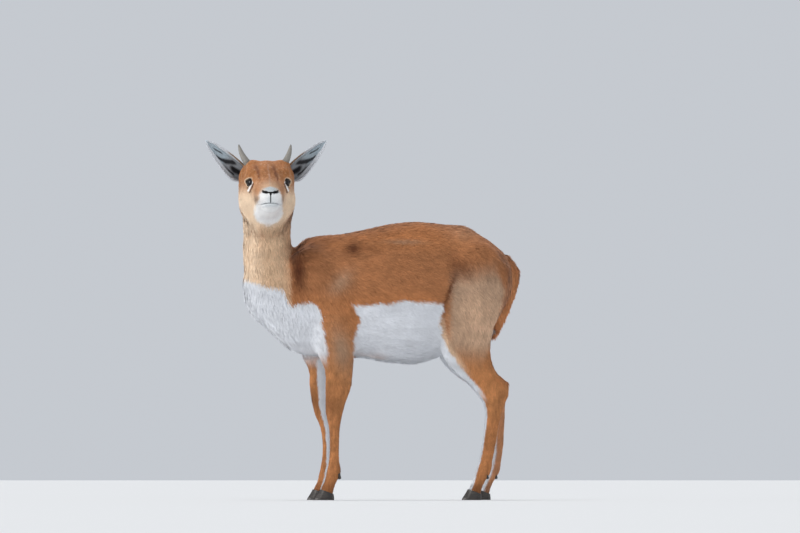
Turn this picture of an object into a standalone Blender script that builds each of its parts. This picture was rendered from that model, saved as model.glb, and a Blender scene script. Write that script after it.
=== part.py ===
"""A young male blackbuck, life size and still, standing square with its head turned to its left.

The trunk faces +X, the animal's left side is +Y and up is +Z; the hooves stand at Z = 0. The flesh is a set of
lofts and muscle forms, fused, smoothed and then parted into nodes by thin gaps. Horns, eyes, ears, tail and
claws are bodies of their own that meet the flesh across the same gap.
"""

import math

import bmesh
import bpy
import numpy as np
from mathutils import Matrix, Vector

# Driving dimensions, in metres
GAP = 0.0003
BODY_VOXEL = 0.0050
HEAD_VOXEL = 0.0027
FLESH_FACES = 6400
COARSE_FACTOR = 0.004

FORE_TRACK = 0.066
HIND_TRACK = 0.068

HEAD_TURN = math.radians(82)
HEAD_AT = Vector((0.2868, 0.080, 0.860))

EYE_RADIUS = 0.0165
EYE_AT = Vector((0.0020, 0.0410, -0.0045))
EYE_FACING = Vector((0.66, 0.74, 0.08)).normalized()
EYE_OPENING = (0.0155, 0.0112)
EYE_TILT = math.radians(14)
LID_RADIUS = 0.0019
LID_POINTS = 20
HORN_RADIUS = 0.0098
HORN_LEAN = 0.062
HARD_EDGE = math.radians(40)
EAR_WALL = 0.0032

# Base colour and roughness of each kind of node, by how its name starts
FINISHES = {
    "horn": ((0.20, 0.17, 0.14), 0.45),
    "hoof": ((0.05, 0.045, 0.04), 0.40),
    "dewclaw": ((0.05, 0.045, 0.04), 0.40),
    "eye": ((0.02, 0.012, 0.008), 0.08),
    "ear": ((0.62, 0.52, 0.42), 0.80),
    "neck": ((0.60, 0.45, 0.30), 0.85),
    "head": ((0.50, 0.29, 0.13), 0.80),
    "torso": ((0.48, 0.25, 0.10), 0.85),
    "tail": ((0.35, 0.20, 0.10), 0.85),
    "upper_leg": ((0.45, 0.30, 0.18), 0.85),
    "lower_leg": ((0.50, 0.33, 0.20), 0.85),
}


# Mesh helpers
def new_object(name, mesh):
    obj = bpy.data.objects.new(name, mesh)
    bpy.context.scene.collection.objects.link(obj)
    return obj


def object_of(name, bm):
    bmesh.ops.recalc_face_normals(bm, faces=bm.faces)
    mesh = bpy.data.meshes.new(name)
    bm.to_mesh(mesh)
    bm.free()
    return new_object(name, mesh)


def applied(obj):
    """The object with its modifiers applied to its mesh."""
    bpy.context.view_layer.update()
    graph = bpy.context.evaluated_depsgraph_get()
    mesh = bpy.data.meshes.new_from_object(obj.evaluated_get(graph))
    obj.modifiers.clear()
    obj.data = mesh
    return obj


def fused(obj, voxel):
    """The object's overlapping forms as one closed skin."""
    step = obj.modifiers.new("fuse", "REMESH")
    step.mode = "VOXEL"
    step.voxel_size = voxel
    return largest_surface(applied(obj))


def copied(obj, name):
    return new_object(name, obj.data.copy())


def remove(*objects):
    for obj in objects:
        bpy.data.objects.remove(obj)


def largest_surface(obj):
    """Keeps the object's largest closed surface and drops any loose scrap."""
    bm = bmesh.new()
    bm.from_mesh(obj.data)
    unseen = set(bm.verts)
    groups = []
    while unseen:
        start = unseen.pop()
        group, edge = {start}, [start]
        while edge:
            vertex = edge.pop()
            for link in vertex.link_edges:
                other = link.other_vert(vertex)
                if other in unseen:
                    unseen.remove(other)
                    group.add(other)
                    edge.append(other)
        groups.append(group)
    groups.sort(key=len)
    scrap = [vertex for group in groups[:-1] for vertex in group]
    bmesh.ops.delete(bm, geom=scrap, context="VERTS")
    bm.to_mesh(obj.data)
    bm.free()
    return obj


def combined(obj, others, operation):
    """Obj with the others cut from it or joined to it; the others are used up."""
    group = bpy.data.collections.new("operands")
    for other in others:
        group.objects.link(other)
    step = obj.modifiers.new("combine", "BOOLEAN")
    step.operation = operation
    step.operand_type = "COLLECTION"
    step.collection = group
    step.solver = "EXACT"
    applied(obj)
    bpy.data.collections.remove(group)
    remove(*others)
    return largest_surface(obj)


def swollen(obj, distance=GAP):
    """A copy of the object, grown by a distance, to cut what meets it."""
    grown = copied(obj, "cutter")
    grown.hide_render = True
    grown.display_type = "WIRE"
    step = grown.modifiers.new("grow", "DISPLACE")
    step.strength = distance
    step.mid_level = 0
    return applied(grown)


def thinned(obj, faces, coarseness):
    """The object with about so many triangles, larger ones where coarseness(points) is nearer 1."""
    mesh = obj.data
    count = len(mesh.vertices)
    points = np.empty(count * 3)
    mesh.vertices.foreach_get("co", points)
    group = obj.vertex_groups.new(name="coarse")
    weights = np.round(coarseness(points.reshape(-1, 3)) * 20) / 20
    for weight in np.unique(weights):
        group.add(np.flatnonzero(weights == weight).tolist(), float(weight), "REPLACE")
    mesh.calc_loop_triangles()
    step = obj.modifiers.new("thin", "DECIMATE")
    step.ratio = min(1.0, faces / len(mesh.loop_triangles))
    step.use_collapse_triangulate = True
    step.vertex_group = group.name
    step.vertex_group_factor = COARSE_FACTOR
    applied(obj)
    obj.vertex_groups.clear()
    return obj


def softened(obj, rounds, softness):
    """Smooths the object's forms into each other; softness(points) gives each vertex its share, 0 to 1."""
    mesh = obj.data
    count = len(mesh.vertices)
    points = np.empty(count * 3)
    mesh.vertices.foreach_get("co", points)
    points = points.reshape(-1, 3)
    ends = np.empty(len(mesh.edges) * 2, dtype=np.int64)
    mesh.edges.foreach_get("vertices", ends)
    first, second = ends[::2], ends[1::2]
    degree = np.bincount(ends, minlength=count)[:, None]
    share = 0.6 * softness(points)[:, None]
    for _ in range(rounds):
        sums = np.stack(
            [
                np.bincount(first, points[second, axis], count)
                + np.bincount(second, points[first, axis], count)
                for axis in range(3)
            ],
            axis=1,
        )
        points = points + share * (sums / degree - points)
    mesh.vertices.foreach_set("co", points.ravel())
    mesh.update()
    return obj


def ramp(value, start, end):
    """0 before start, 1 after end, and smooth between them, for numbers or arrays."""
    t = np.clip((value - start) / (end - start), 0, 1)
    return t * t * (3 - 2 * t)


def along(rows, steps):
    """A smooth curve through the rows, with steps pieces to each span."""
    rows = np.array(rows, float)
    knots = np.concatenate([[0], np.cumsum(np.linalg.norm(np.diff(rows[:, :3], axis=0), axis=1))])
    slopes = np.gradient(rows, knots, axis=0)
    found = []
    for i in range(len(rows) - 1):
        width = knots[i + 1] - knots[i]
        for t in np.linspace(0, 1, steps, endpoint=False):
            start, end = 2 * t**3 - 3 * t**2 + 1, 3 * t**2 - 2 * t**3
            lead, tail = (t**3 - 2 * t**2 + t) * width, (t**3 - t**2) * width
            found.append(start * rows[i] + lead * slopes[i] + end * rows[i + 1] + tail * slopes[i + 1])
    found.append(rows[-1])
    return np.array(found)


def loft(bm, stations, rise_along, steps=4, around=24, power=2.0, egg=0.0):
    """A closed tube through stations (x, y, z, half depth, half width), its width along the Y axis.

    rise_along is the direction of the rings' depth; power squares the rings off above 2, and egg narrows
    them towards that direction.
    """
    depth_way = Vector(rise_along)
    rings = []
    for row in along(stations, steps):
        ring = []
        for k in range(around):
            angle = 2 * math.pi * k / around
            rise = math.copysign(abs(math.sin(angle)) ** (2 / power), math.sin(angle))
            reach = math.copysign(abs(math.cos(angle)) ** (2 / power), math.cos(angle))
            point = Vector(row[:3]) + depth_way * (rise * row[3])
            point.y += reach * (1 - egg * rise) * row[4]
            ring.append(bm.verts.new(point))
        rings.append(ring)
    for a, b in zip(rings, rings[1:]):
        for k in range(around):
            m = (k + 1) % around
            bm.faces.new((a[k], a[m], b[m], b[k]))
    bm.faces.new(rings[0])
    bm.faces.new(rings[-1])


def blob(bm, centre, radii, turn=(0, 0, 0), segments=24):
    """A muscle or fat form: an ellipsoid, turned by angles in degrees about X, Y and Z."""
    matrix = Matrix.Translation(centre)
    for axis, degrees in zip("XYZ", turn):
        matrix = matrix @ Matrix.Rotation(math.radians(degrees), 4, axis)
    matrix = matrix @ Matrix.Diagonal((*radii, 1))
    bmesh.ops.create_uvsphere(
        bm, u_segments=segments, v_segments=segments * 2 // 3, radius=1.0, matrix=matrix
    )


# The trunk and neck
def trunk(bm):
    """The barrel from brisket to rump, by its back line, belly line and half width."""
    stations = []
    for x, top, bottom, width in [
        (0.338, 0.600, 0.555, 0.024),
        (0.325, 0.640, 0.515, 0.046),
        (0.290, 0.664, 0.478, 0.064),
        (0.250, 0.655, 0.440, 0.076),
        (0.213, 0.662, 0.410, 0.084),
        (0.184, 0.697, 0.398, 0.089),
        (0.141, 0.7135, 0.390, 0.094),
        (0.085, 0.718, 0.385, 0.099),
        (0.010, 0.731, 0.383, 0.108),
        (-0.065, 0.747, 0.371, 0.115),
        (-0.138, 0.754, 0.369, 0.115),
        (-0.196, 0.749, 0.388, 0.107),
        (-0.240, 0.745, 0.418, 0.099),
        (-0.266, 0.746, 0.440, 0.095),
        (-0.300, 0.727, 0.462, 0.090),
        (-0.350, 0.694, 0.498, 0.076),
        (-0.388, 0.655, 0.535, 0.050),
        (-0.402, 0.620, 0.570, 0.024),
    ]:
        stations.append((x, 0, (top + bottom) / 2, (top - bottom) / 2, width))
    loft(bm, stations, (0, 0, 1), around=40, power=2.15, egg=0.10)


def neck(bm):
    loft(
        bm,
        [
            (0.232, 0, 0.490, 0.058, 0.060),
            (0.244, 0, 0.525, 0.078, 0.068),
            (0.252, 0, 0.565, 0.082, 0.068),
            (0.264, 0, 0.620, 0.072, 0.063),
            (0.2725, 0, 0.675, 0.0680, 0.058),
            (0.2735, 0, 0.725, 0.0655, 0.057),
            (0.2730, 0.001, 0.760, 0.0690, 0.058),
            (0.2720, 0.004, 0.790, 0.0735, 0.059),
            (0.2720, 0.008, 0.825, 0.0740, 0.058),
            (0.2740, 0.012, 0.865, 0.0620, 0.048),
        ],
        (1, 0, 0),
        around=36,
    )


def shoulder(bm, s):
    blob(bm, (0.145, s * 0.060, 0.580), (0.068, 0.037, 0.115), (0, 26, 0))
    blob(bm, (0.205, s * 0.044, 0.500), (0.060, 0.038, 0.056), (0, -30, 0))
    blob(bm, (0.088, s * 0.070, 0.490), (0.050, 0.036, 0.085), (0, -20, 0))


def haunch(bm, s):
    blob(bm, (-0.288, s * 0.060, 0.600), (0.090, 0.050, 0.105), (0, 16, 0))
    blob(bm, (-0.322, s * 0.050, 0.545), (0.052, 0.046, 0.095), (0, -14, 0))
    blob(bm, (-0.228, s * 0.076, 0.490), (0.036, 0.034, 0.090), (0, 12, 0))


# The legs, from the top down: x, z, half depth, half width and how far out of the track the middle lies
def fore_leg(bm, shift, lean, s):
    stations = [
        (0.120, 0.560, 0.060, 0.032, 0.002),
        (0.108, 0.480, 0.058, 0.034, 0.004),
        (0.103, 0.415, 0.053, 0.031, 0.005),
        (0.0896, 0.352, 0.0394, 0.0260, 0.004),
        (0.0915, 0.300, 0.0350, 0.0225, 0.002),
        (0.0985, 0.262, 0.0280, 0.0210, 0.001),
        (0.1015, 0.234, 0.0240, 0.0200, 0.000),
        (0.1010, 0.200, 0.0165, 0.0165, 0.000),
        (0.1010, 0.150, 0.0140, 0.0145, 0.000),
        (0.1020, 0.108, 0.0150, 0.0150, 0.000),
        (0.1030, 0.074, 0.0205, 0.0180, 0.000),
        (0.1120, 0.050, 0.0172, 0.0176, 0.000),
        (0.1205, 0.030, 0.0185, 0.0190, 0.000),
        (0.1240, 0.012, 0.0180, 0.0185, 0.000),
    ]
    places = []
    for x, z, a, b, y in stations:
        forward = shift + lean * ramp(z, 0.15, 0.32) * (1 - ramp(z, 0.40, 0.50))
        places.append((x + forward, s * (FORE_TRACK + y), z, a, b))
    loft(bm, places, (1, 0, 0))
    blob(bm, (0.0795 + shift, s * FORE_TRACK, 0.262), (0.009, 0.010, 0.020))


def hind_leg(bm, shift, lean, s):
    stations = [
        (-0.305, 0.640, 0.080, 0.040, -0.006),
        (-0.290, 0.560, 0.086, 0.048, -0.002),
        (-0.2735, 0.480, 0.0690, 0.048, 0.002),
        (-0.2600, 0.420, 0.0700, 0.040, 0.004),
        (-0.2640, 0.385, 0.0670, 0.0350, 0.004),
        (-0.2840, 0.350, 0.0590, 0.0300, 0.003),
        (-0.3230, 0.315, 0.0520, 0.0260, 0.002),
        (-0.3365, 0.290, 0.0440, 0.0240, 0.002),
        (-0.3415, 0.262, 0.0310, 0.0220, 0.001),
        (-0.3425, 0.235, 0.0250, 0.0195, 0.000),
        (-0.3398, 0.205, 0.0218, 0.0168, 0.000),
        (-0.3298, 0.143, 0.0203, 0.0152, 0.000),
        (-0.3220, 0.104, 0.0203, 0.0152, 0.000),
        (-0.3140, 0.074, 0.0228, 0.0184, 0.000),
        (-0.3030, 0.050, 0.0175, 0.0178, 0.000),
        (-0.2935, 0.030, 0.0185, 0.0190, 0.000),
        (-0.2900, 0.012, 0.0180, 0.0185, 0.000),
    ]
    places = []
    for x, z, a, b, y in stations:
        forward = shift + lean * ramp(HIND_BEND[s][0] - z, 0.0, HIND_BEND[s][1])
        places.append((x + forward, s * (HIND_TRACK + y), z, a, b))
    loft(bm, places, (1, 0, 0))
    blob(bm, (-0.367 + shift, s * HIND_TRACK, 0.306), (0.013, 0.012, 0.020), (0, -20, 0))


# How far forward each leg stands, and how much farther its forearm or its foot reaches; 1 is the left side
FORE_SHIFT = {1: 0.0, -1: -0.008}
FORE_LEAN = {1: 0.0, -1: 0.0235}
HIND_SHIFT = {1: 0.0, -1: -0.022}
HIND_LEAN = {1: 0.0065, -1: -0.025}
# The height where each hind leg's lean begins, and the height over which it grows
HIND_BEND = {1: (0.30, 0.10), -1: (0.34, 0.24)}


# The head, in its own frame: +X towards the nose, +Y its left, +Z up, from the middle between the eyes
HEAD_FRAME = Matrix.Translation(HEAD_AT) @ Matrix.Rotation(HEAD_TURN, 4, "Z")


def skull(bm):
    stations = []
    for x, top, bottom, width in [
        (-0.104, 0.005, -0.060, 0.030),
        (-0.095, 0.030, -0.085, 0.050),
        (-0.075, 0.048, -0.108, 0.062),
        (-0.050, 0.055, -0.118, 0.0670),
        (-0.025, 0.053, -0.116, 0.0650),
        (0.000, 0.042, -0.109, 0.0580),
        (0.025, 0.026, -0.100, 0.0470),
        (0.050, 0.010, -0.093, 0.0390),
        (0.072, -0.003, -0.088, 0.0330),
        (0.090, -0.014, -0.084, 0.0295),
        (0.103, -0.022, -0.077, 0.0245),
        (0.111, -0.029, -0.069, 0.0170),
        (0.114, -0.037, -0.060, 0.0080),
    ]:
        stations.append((x, 0, (top + bottom) / 2, (top - bottom) / 2, width))
    loft(bm, stations, (0, 0, 1), around=40, power=2.3, egg=-0.08)
    blob(bm, (-0.010, 0, 0.032), (0.050, 0.032, 0.014), (0, 27, 0))
    blob(bm, (0.101, 0, -0.037), (0.013, 0.0215, 0.0125), (0, 20, 0))
    blob(bm, (0.092, 0, -0.072), (0.016, 0.024, 0.0140), (0, -14, 0))
    blob(bm, (-0.045, 0, -0.100), (0.057, 0.055, 0.048), (0, 20, 0))
    for s in (1, -1):
        blob(bm, (-0.008, s * 0.0440, -0.001), (0.025, 0.0235, 0.0225), (0, 8, s * -24))
        blob(bm, (-0.018, s * 0.0370, 0.024), (0.034, 0.0250, 0.0190), (0, 22, 0))
        blob(bm, (-0.040, s * 0.0470, -0.052), (0.050, 0.0310, 0.0480), (0, 14, 0))
        blob(bm, (-0.068, s * 0.0450, -0.038), (0.034, 0.0320, 0.0700), (0, 4, 0))
        blob(bm, (0.080, s * 0.0190, -0.052), (0.030, 0.0190, 0.0190), (0, 8, 0))
        blob(bm, (0.1000, s * 0.0135, -0.038), (0.013, 0.0100, 0.0105), (0, 0, 0))
        blob(bm, (-0.046, s * 0.0380, 0.042), (0.030, 0.0270, 0.0170), (0, 0, 0))
        blob(bm, (-0.066, s * 0.0540, 0.012), (0.026, 0.0220, 0.0340), (s * 10, 0, 0))
        blob(bm, (-0.022, s * 0.0340, -0.088), (0.036, 0.0240, 0.0230), (0, 14, 0))
    bmesh.ops.transform(bm, matrix=HEAD_FRAME, verts=bm.verts)


# The whole flesh
def body_softness(points):
    """The trunk and neck are smoothed fully, the legs hardly."""
    return 0.06 + 0.94 * ramp(points[:, 2], 0.36, 0.46)


def seam_softness(points):
    """All of the flesh lightly, and where the head meets the neck more."""
    local = (points - np.array(HEAD_AT)) @ np.array(HEAD_FRAME.to_3x3())
    seam = ramp(-local[:, 0] * 0.5 - local[:, 2] * 0.8, 0.055, 0.09) * ramp(points[:, 2], 0.66, 0.74)
    return 0.10 + 0.90 * seam


def body_coarseness(points):
    """The face finest, the feet and the rest of the head next, and the trunk coarsest."""
    local = (points - np.array(HEAD_AT)) @ np.array(HEAD_FRAME.to_3x3())
    face = ramp(local[:, 0], -0.06, 0.02) * ramp(points[:, 2], 0.70, 0.76)
    head = ramp(points[:, 2], 0.76, 0.82)
    feet = 1 - ramp(points[:, 2], 0.10, 0.40)
    return np.clip(1 - 1.0 * face - 0.8 * head - 0.6 * feet, 0.05, 1)


def whole_flesh():
    bm = bmesh.new()
    trunk(bm)
    neck(bm)
    for s in (1, -1):
        shoulder(bm, s)
        haunch(bm, s)
        fore_leg(bm, FORE_SHIFT[s], FORE_LEAN[s], s)
        hind_leg(bm, HIND_SHIFT[s], HIND_LEAN[s], s)
    body = softened(fused(object_of("body", bm), BODY_VOXEL), 34, body_softness)
    bm = bmesh.new()
    skull(bm)
    head = softened(fused(object_of("skull", bm), HEAD_VOXEL), 12, lambda points: np.ones(len(points)))
    bm = bmesh.new()
    bm.from_mesh(body.data)
    bm.from_mesh(head.data)
    remove(body, head)
    flesh = fused(object_of("flesh", bm), HEAD_VOXEL)
    return softened(flesh, 30, seam_softness)


# Parting the flesh
def half_of(obj, name, point, normal):
    """The part of the object on the side of the plane that the normal points to, closed with a flat face."""
    bm = bmesh.new()
    bm.from_mesh(obj.data)
    cut = bmesh.ops.bisect_plane(
        bm,
        geom=bm.verts[:] + bm.edges[:] + bm.faces[:],
        dist=1e-7,
        plane_co=point + normal * (GAP / 2),
        plane_no=normal,
        clear_inner=True,
    )
    edges = [item for item in cut["geom_cut"] if isinstance(item, bmesh.types.BMEdge)]
    bmesh.ops.holes_fill(bm, edges=edges, sides=0)
    bmesh.ops.triangulate(bm, faces=[face for face in bm.faces if len(face.verts) > 4])
    return object_of(name, bm)


def parted(obj, point, normal):
    """The object's two sides of a plane, the one that the normal points to first; the object is used up."""
    point, normal = Vector(point), Vector(normal).normalized()
    sides = half_of(obj, "side", point, normal), half_of(obj, "side", point, -normal)
    remove(obj)
    return sides


def named(obj, name):
    obj.name = name
    obj.data.name = name
    return obj


def boxed(obj, centre, size, lean):
    """The object's part in a box and the rest, the box leaning by an angle about Y; the object is used up."""
    pieces = []
    for operation, growth in (("INTERSECT", 0), ("DIFFERENCE", 2 * GAP)):
        bm = bmesh.new()
        place = Matrix.Translation(centre) @ Matrix.Rotation(math.radians(lean), 4, "Y")
        bmesh.ops.create_cube(bm, size=1, matrix=place @ Matrix.Diagonal((*[a + growth for a in size], 1)))
        pieces.append(combined(copied(obj, "piece"), [object_of("cutter", bm)], operation))
    remove(obj)
    return pieces


# x, y and z of each leg's box, its size and its lean, that part the leg from the trunk
LEG_BOXES = {
    "fore_left": ((0.080, 0.090, 0.184), (0.30, 0.18, 0.40), -5),
    "fore_right": ((0.080, -0.090, 0.184), (0.30, 0.18, 0.40), -5),
    "hind_left": ((-0.372, 0.090, 0.205), (0.42, 0.18, 0.40), 30),
    "hind_right": ((-0.372, -0.090, 0.205), (0.42, 0.18, 0.40), 30),
}
KNEE_HEIGHT = {"fore": 0.246, "hind": 0.300}
# The coronet's plane over the hoof: how far its middle lies ahead of the foot, and its height
CORONET = (0.0, 0.0235)
CORONET_SLOPE = math.radians(21)


def foot_point(leg):
    end, side = leg.split("_")
    s = 1 if side == "left" else -1
    if end == "fore":
        return Vector((0.126 + FORE_SHIFT[s], s * FORE_TRACK, 0)), s
    return Vector((-0.288 + HIND_SHIFT[s] + HIND_LEAN[s], s * HIND_TRACK, 0)), s


def coronet(leg):
    foot, _ = foot_point(leg)
    point = foot + Vector((CORONET[0], 0, CORONET[1]))
    return point, Vector((-math.sin(CORONET_SLOPE), 0, math.cos(CORONET_SLOPE)))


def claw(leg, side):
    """One of a foot's two pointed claws; side is 1 for the one on the animal's left."""
    foot, _ = foot_point(leg)
    bm = bmesh.new()
    rings = []
    for height, heel, toe, width in [
        (0.000, -0.0225, 0.0310, 0.0175),
        (0.006, -0.0225, 0.0285, 0.0180),
        (0.014, -0.0215, 0.0230, 0.0180),
        (0.024, -0.0200, 0.0170, 0.0175),
        (0.036, -0.0190, 0.0110, 0.0165),
    ]:
        ring = []
        count = 9
        for k in range(count):
            t = k / (count - 1)
            out = math.sin(math.pi * (0.06 + 0.93 * t ** 0.85)) ** 0.55
            ring.append((heel + (toe - heel) * t, 0.0012 + width * out))
        for k in range(count - 2, 0, -1):
            t = k / (count - 1)
            ring.append((heel + (toe - heel) * t, 0.0012 + 0.0016 * math.sin(math.pi * t)))
        points = [foot + Vector((x, side * y, height)) for x, y in ring]
        rings.append([bm.verts.new(point) for point in points])
    for a, b in zip(rings, rings[1:]):
        for k in range(len(a)):
            m = (k + 1) % len(a)
            bm.faces.new((a[k], a[m], b[m], b[k]))
    bm.faces.new(rings[0])
    bm.faces.new(rings[-1])
    whole = object_of("claw", bm)
    point, normal = coronet(leg)
    claw_side = half_of(whole, "hoof_%s_%s" % (leg, "a" if side > 0 else "b"), point, -normal)
    remove(whole)
    return claw_side


def dewclaw(leg, side, flesh):
    """A small claw behind the fetlock."""
    foot, _ = foot_point(leg)
    bm = bmesh.new()
    root = foot + Vector((-0.0360, side * 0.0085, 0.0640))
    place = Matrix.Translation(root) @ Matrix.Rotation(math.radians(24), 4, "Y")
    bmesh.ops.create_cone(
        bm, segments=10, radius1=0.0034, radius2=0.0064, depth=0.015, cap_ends=True, matrix=place
    )
    piece = object_of("dewclaw_%s_%s" % (leg, "a" if side > 0 else "b"), bm)
    return combined(piece, [swollen(flesh)], "DIFFERENCE")


# Face details, all in the head's frame; s is 1 on its left and -1 on its right
def mirrored(vector, s):
    return Vector((vector.x, s * vector.y, vector.z))


def ball(name, centre, radii, facing=None, segments=24, tilt=0.0):
    bm = bmesh.new()
    matrix = Matrix.Translation(centre)
    if facing is not None:
        matrix = matrix @ facing.to_track_quat("X", "Z").to_matrix().to_4x4() @ Matrix.Rotation(tilt, 4, "X")
    matrix = HEAD_FRAME @ matrix @ Matrix.Diagonal((*radii, 1))
    bmesh.ops.create_uvsphere(
        bm, u_segments=segments, v_segments=segments * 2 // 3, radius=1.0, matrix=matrix
    )
    return object_of(name, bm)


def eye(s):
    return ball(
        "eye_left" if s > 0 else "eye_right", mirrored(EYE_AT, s), [EYE_RADIUS] * 3, mirrored(EYE_FACING, s), 15
    )


def eye_cutters(s):
    """The almond opening between the lids, and the socket that the eyeball fills."""
    centre, facing = mirrored(EYE_AT, s), mirrored(EYE_FACING, s)
    socket = ball("socket", centre, [EYE_RADIUS + GAP] * 3, facing)
    length, height = EYE_OPENING
    almond = ball("opening", centre + facing * 0.0190, (0.0120, length, height), facing, 24, s * EYE_TILT)
    return [almond, socket]


def lid(s, head):
    """A soft rim round the opening, seated on the skin of the head."""
    centre, facing = mirrored(EYE_AT, s), mirrored(EYE_FACING, s)
    turn = facing.to_track_quat("X", "Z").to_matrix().to_4x4() @ Matrix.Rotation(s * EYE_TILT, 4, "X")
    length, height = EYE_OPENING
    inward = HEAD_FRAME.to_3x3() @ -facing
    points = []
    for k in range(LID_POINTS):
        angle = 2 * math.pi * k / LID_POINTS
        offset = Vector((0, (length + 0.0010) * math.cos(angle), (height + 0.0010) * math.sin(angle)))
        start = HEAD_FRAME @ (centre + facing * 0.05 + turn.to_3x3() @ offset)
        seat = head.ray_cast(start, inward)[1]
        points.append(seat + inward * 0.0004)
    middle = sum(points, Vector()) / len(points)
    bm = bmesh.new()
    rings = []
    for k, point in enumerate(points):
        out = (point - middle).normalized()
        away = -inward
        ring = []
        for j in range(6):
            angle = 2 * math.pi * j / 6
            ring.append(bm.verts.new(point + (out * math.cos(angle) * 1.2 + away * math.sin(angle)) * LID_RADIUS))
        rings.append(ring)
    for k, a in enumerate(rings):
        b = rings[(k + 1) % len(rings)]
        for j in range(6):
            m = (j + 1) % 6
            bm.faces.new((a[j], a[m], b[m], b[j]))
    return object_of("lid", bm)


def lip_point(angle, reach, height):
    """A point round the muzzle at the height of the mouth; reach is 1 on its skin."""
    c, n = math.cos(angle), math.sin(angle)
    along_nose = 0.058 + reach * 0.0535 * abs(c) ** 0.9
    across = reach * 0.0365 * math.copysign(abs(n) ** 0.9, n)
    return Vector((along_nose, across, height - 0.003 * abs(n)))


def mouth_cutter():
    """A wedge round the front of the muzzle that cuts the line of the mouth."""
    bm = bmesh.new()
    rings = []
    for k in range(25):
        angle = math.radians(-84 + 168 * k / 24)
        section = [(0.90, -0.0603), (1.25, -0.0585), (1.25, -0.0622)]
        rings.append([bm.verts.new(HEAD_FRAME @ lip_point(angle, reach, w)) for reach, w in section])
    for a, b in zip(rings, rings[1:]):
        for k in range(3):
            m = (k + 1) % 3
            bm.faces.new((a[k], a[m], b[m], b[k]))
    bm.faces.new(rings[0])
    bm.faces.new(rings[-1])
    return object_of("mouth", bm)


def nostril_cutters(s):
    hole = ball("nostril", Vector((0.1070, s * 0.0120, -0.0335)), (0.0060, 0.0068, 0.0026), None, 16)
    wing = ball("wing", Vector((0.1020, s * 0.0175, -0.0320)), (0.0060, 0.0040, 0.0034), None, 12)
    return [hole, wing]


def horn(s, flesh):
    """A short curved spike; both horns lean a little to the animal's right."""
    bm = bmesh.new()
    stations = []
    for x, y, z, share in [
        (-0.0390, 0.0475, 0.0360, 1.00),
        (-0.0400, 0.0515, 0.0500, 1.00),
        (-0.0425, 0.0590, 0.0640, 0.84),
        (-0.0450, 0.0650, 0.0780, 0.64),
        (-0.0465, 0.0685, 0.0900, 0.42),
        (-0.0470, 0.0700, 0.0965, 0.24),
        (-0.0470, 0.0700, 0.1000, 0.06),
    ]:
        radius = HORN_RADIUS * share
        stations.append((x, s * y - HORN_LEAN * (z - 0.005), z, radius, radius))
    loft(bm, stations, (1, 0, 0), steps=2, around=12)
    bmesh.ops.transform(bm, matrix=HEAD_FRAME, verts=bm.verts)
    piece = object_of("horn_left" if s > 0 else "horn_right", bm)
    return combined(piece, [swollen(flesh)], "DIFFERENCE")


EAR_ROOT = Vector((-0.064, 0.0640, 0.0100))
EAR_TIP = Vector((-0.078, 0.1595, 0.1070))
EAR_FACING = Vector((1.0, 0.15, -0.10))
# How far up the ear, the half width there, and half the angle that its cup wraps round
EAR_ROWS = [
    (0.00, 0.0165, 112),
    (0.10, 0.0235, 104),
    (0.22, 0.0255, 94),
    (0.40, 0.0242, 78),
    (0.56, 0.0215, 64),
    (0.75, 0.0165, 52),
    (0.90, 0.0105, 44),
    (1.00, 0.0022, 40),
]


def ear(s, flesh):
    """A leaf-shaped cup of even wall, open to the front, its root closed by the conch's bulb."""
    root, tip = mirrored(EAR_ROOT, s), mirrored(EAR_TIP, s)
    axis = (tip - root).normalized()
    facing = mirrored(EAR_FACING, s)
    facing = (facing - axis * facing.dot(axis)).normalized()
    across = axis.cross(facing)
    length = (tip - root).length
    rows = along([(t * length, 0, 0, width, math.radians(angle)) for t, width, angle in EAR_ROWS], 2)
    count = 9
    bm = bmesh.new()
    outer, inner = [], []
    for reach, _, _, width, wrap in rows:
        radius = width / math.sin(min(wrap, math.pi / 2))
        middle_line = root + axis * reach + facing * (radius * math.cos(wrap) * 0.8)
        for side, store in ((0.5, outer), (-0.5, inner)):
            row = []
            for j in range(count):
                t = 2 * j / (count - 1) - 1
                angle = wrap * t
                wall = EAR_WALL * (1 - 0.45 * abs(t) ** 3) * (1 - 0.35 * reach / length)
                ray = across * math.sin(angle) - facing * math.cos(angle)
                row.append(bm.verts.new(HEAD_FRAME @ (middle_line + ray * max(radius + side * wall, 0.0004))))
            store.append(row)
    for i in range(len(rows) - 1):
        for store in (outer, inner):
            for j in range(count - 1):
                a, b, c, d = store[i][j], store[i][j + 1], store[i + 1][j + 1], store[i + 1][j]
                bm.faces.new((a, b, c))
                bm.faces.new((a, c, d))
        for j in (0, count - 1):
            bm.faces.new((outer[i][j], outer[i + 1][j], inner[i + 1][j], inner[i][j]))
    for i in (0, len(rows) - 1):
        for j in range(count - 1):
            bm.faces.new((outer[i][j], outer[i][j + 1], inner[i][j + 1], inner[i][j]))
    shell = object_of("ear_left" if s > 0 else "ear_right", bm)
    bulb = ball("bulb", root - axis * 0.001 - facing * 0.011, (0.0070, 0.0150, 0.0150), axis, 12)
    combined(shell, [bulb], "UNION")
    return combined(shell, [swollen(flesh)], "DIFFERENCE")


def tail(flesh):
    bm = bmesh.new()
    stations = [
        (-0.392, 0, 0.652, 0.010, 0.015),
        (-0.408, 0, 0.628, 0.013, 0.019),
        (-0.4110, 0, 0.595, 0.0120, 0.0195),
        (-0.4010, 0, 0.552, 0.0105, 0.0190),
        (-0.3850, 0, 0.512, 0.0100, 0.0185),
        (-0.3690, 0, 0.480, 0.0100, 0.0170),
        (-0.3560, 0, 0.456, 0.0085, 0.0130),
        (-0.3480, 0, 0.440, 0.0040, 0.0060),
    ]
    loft(bm, stations, (1, 0, 0), steps=2, around=14)
    piece = object_of("tail", bm)
    return combined(piece, [swollen(flesh)], "DIFFERENCE")


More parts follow.
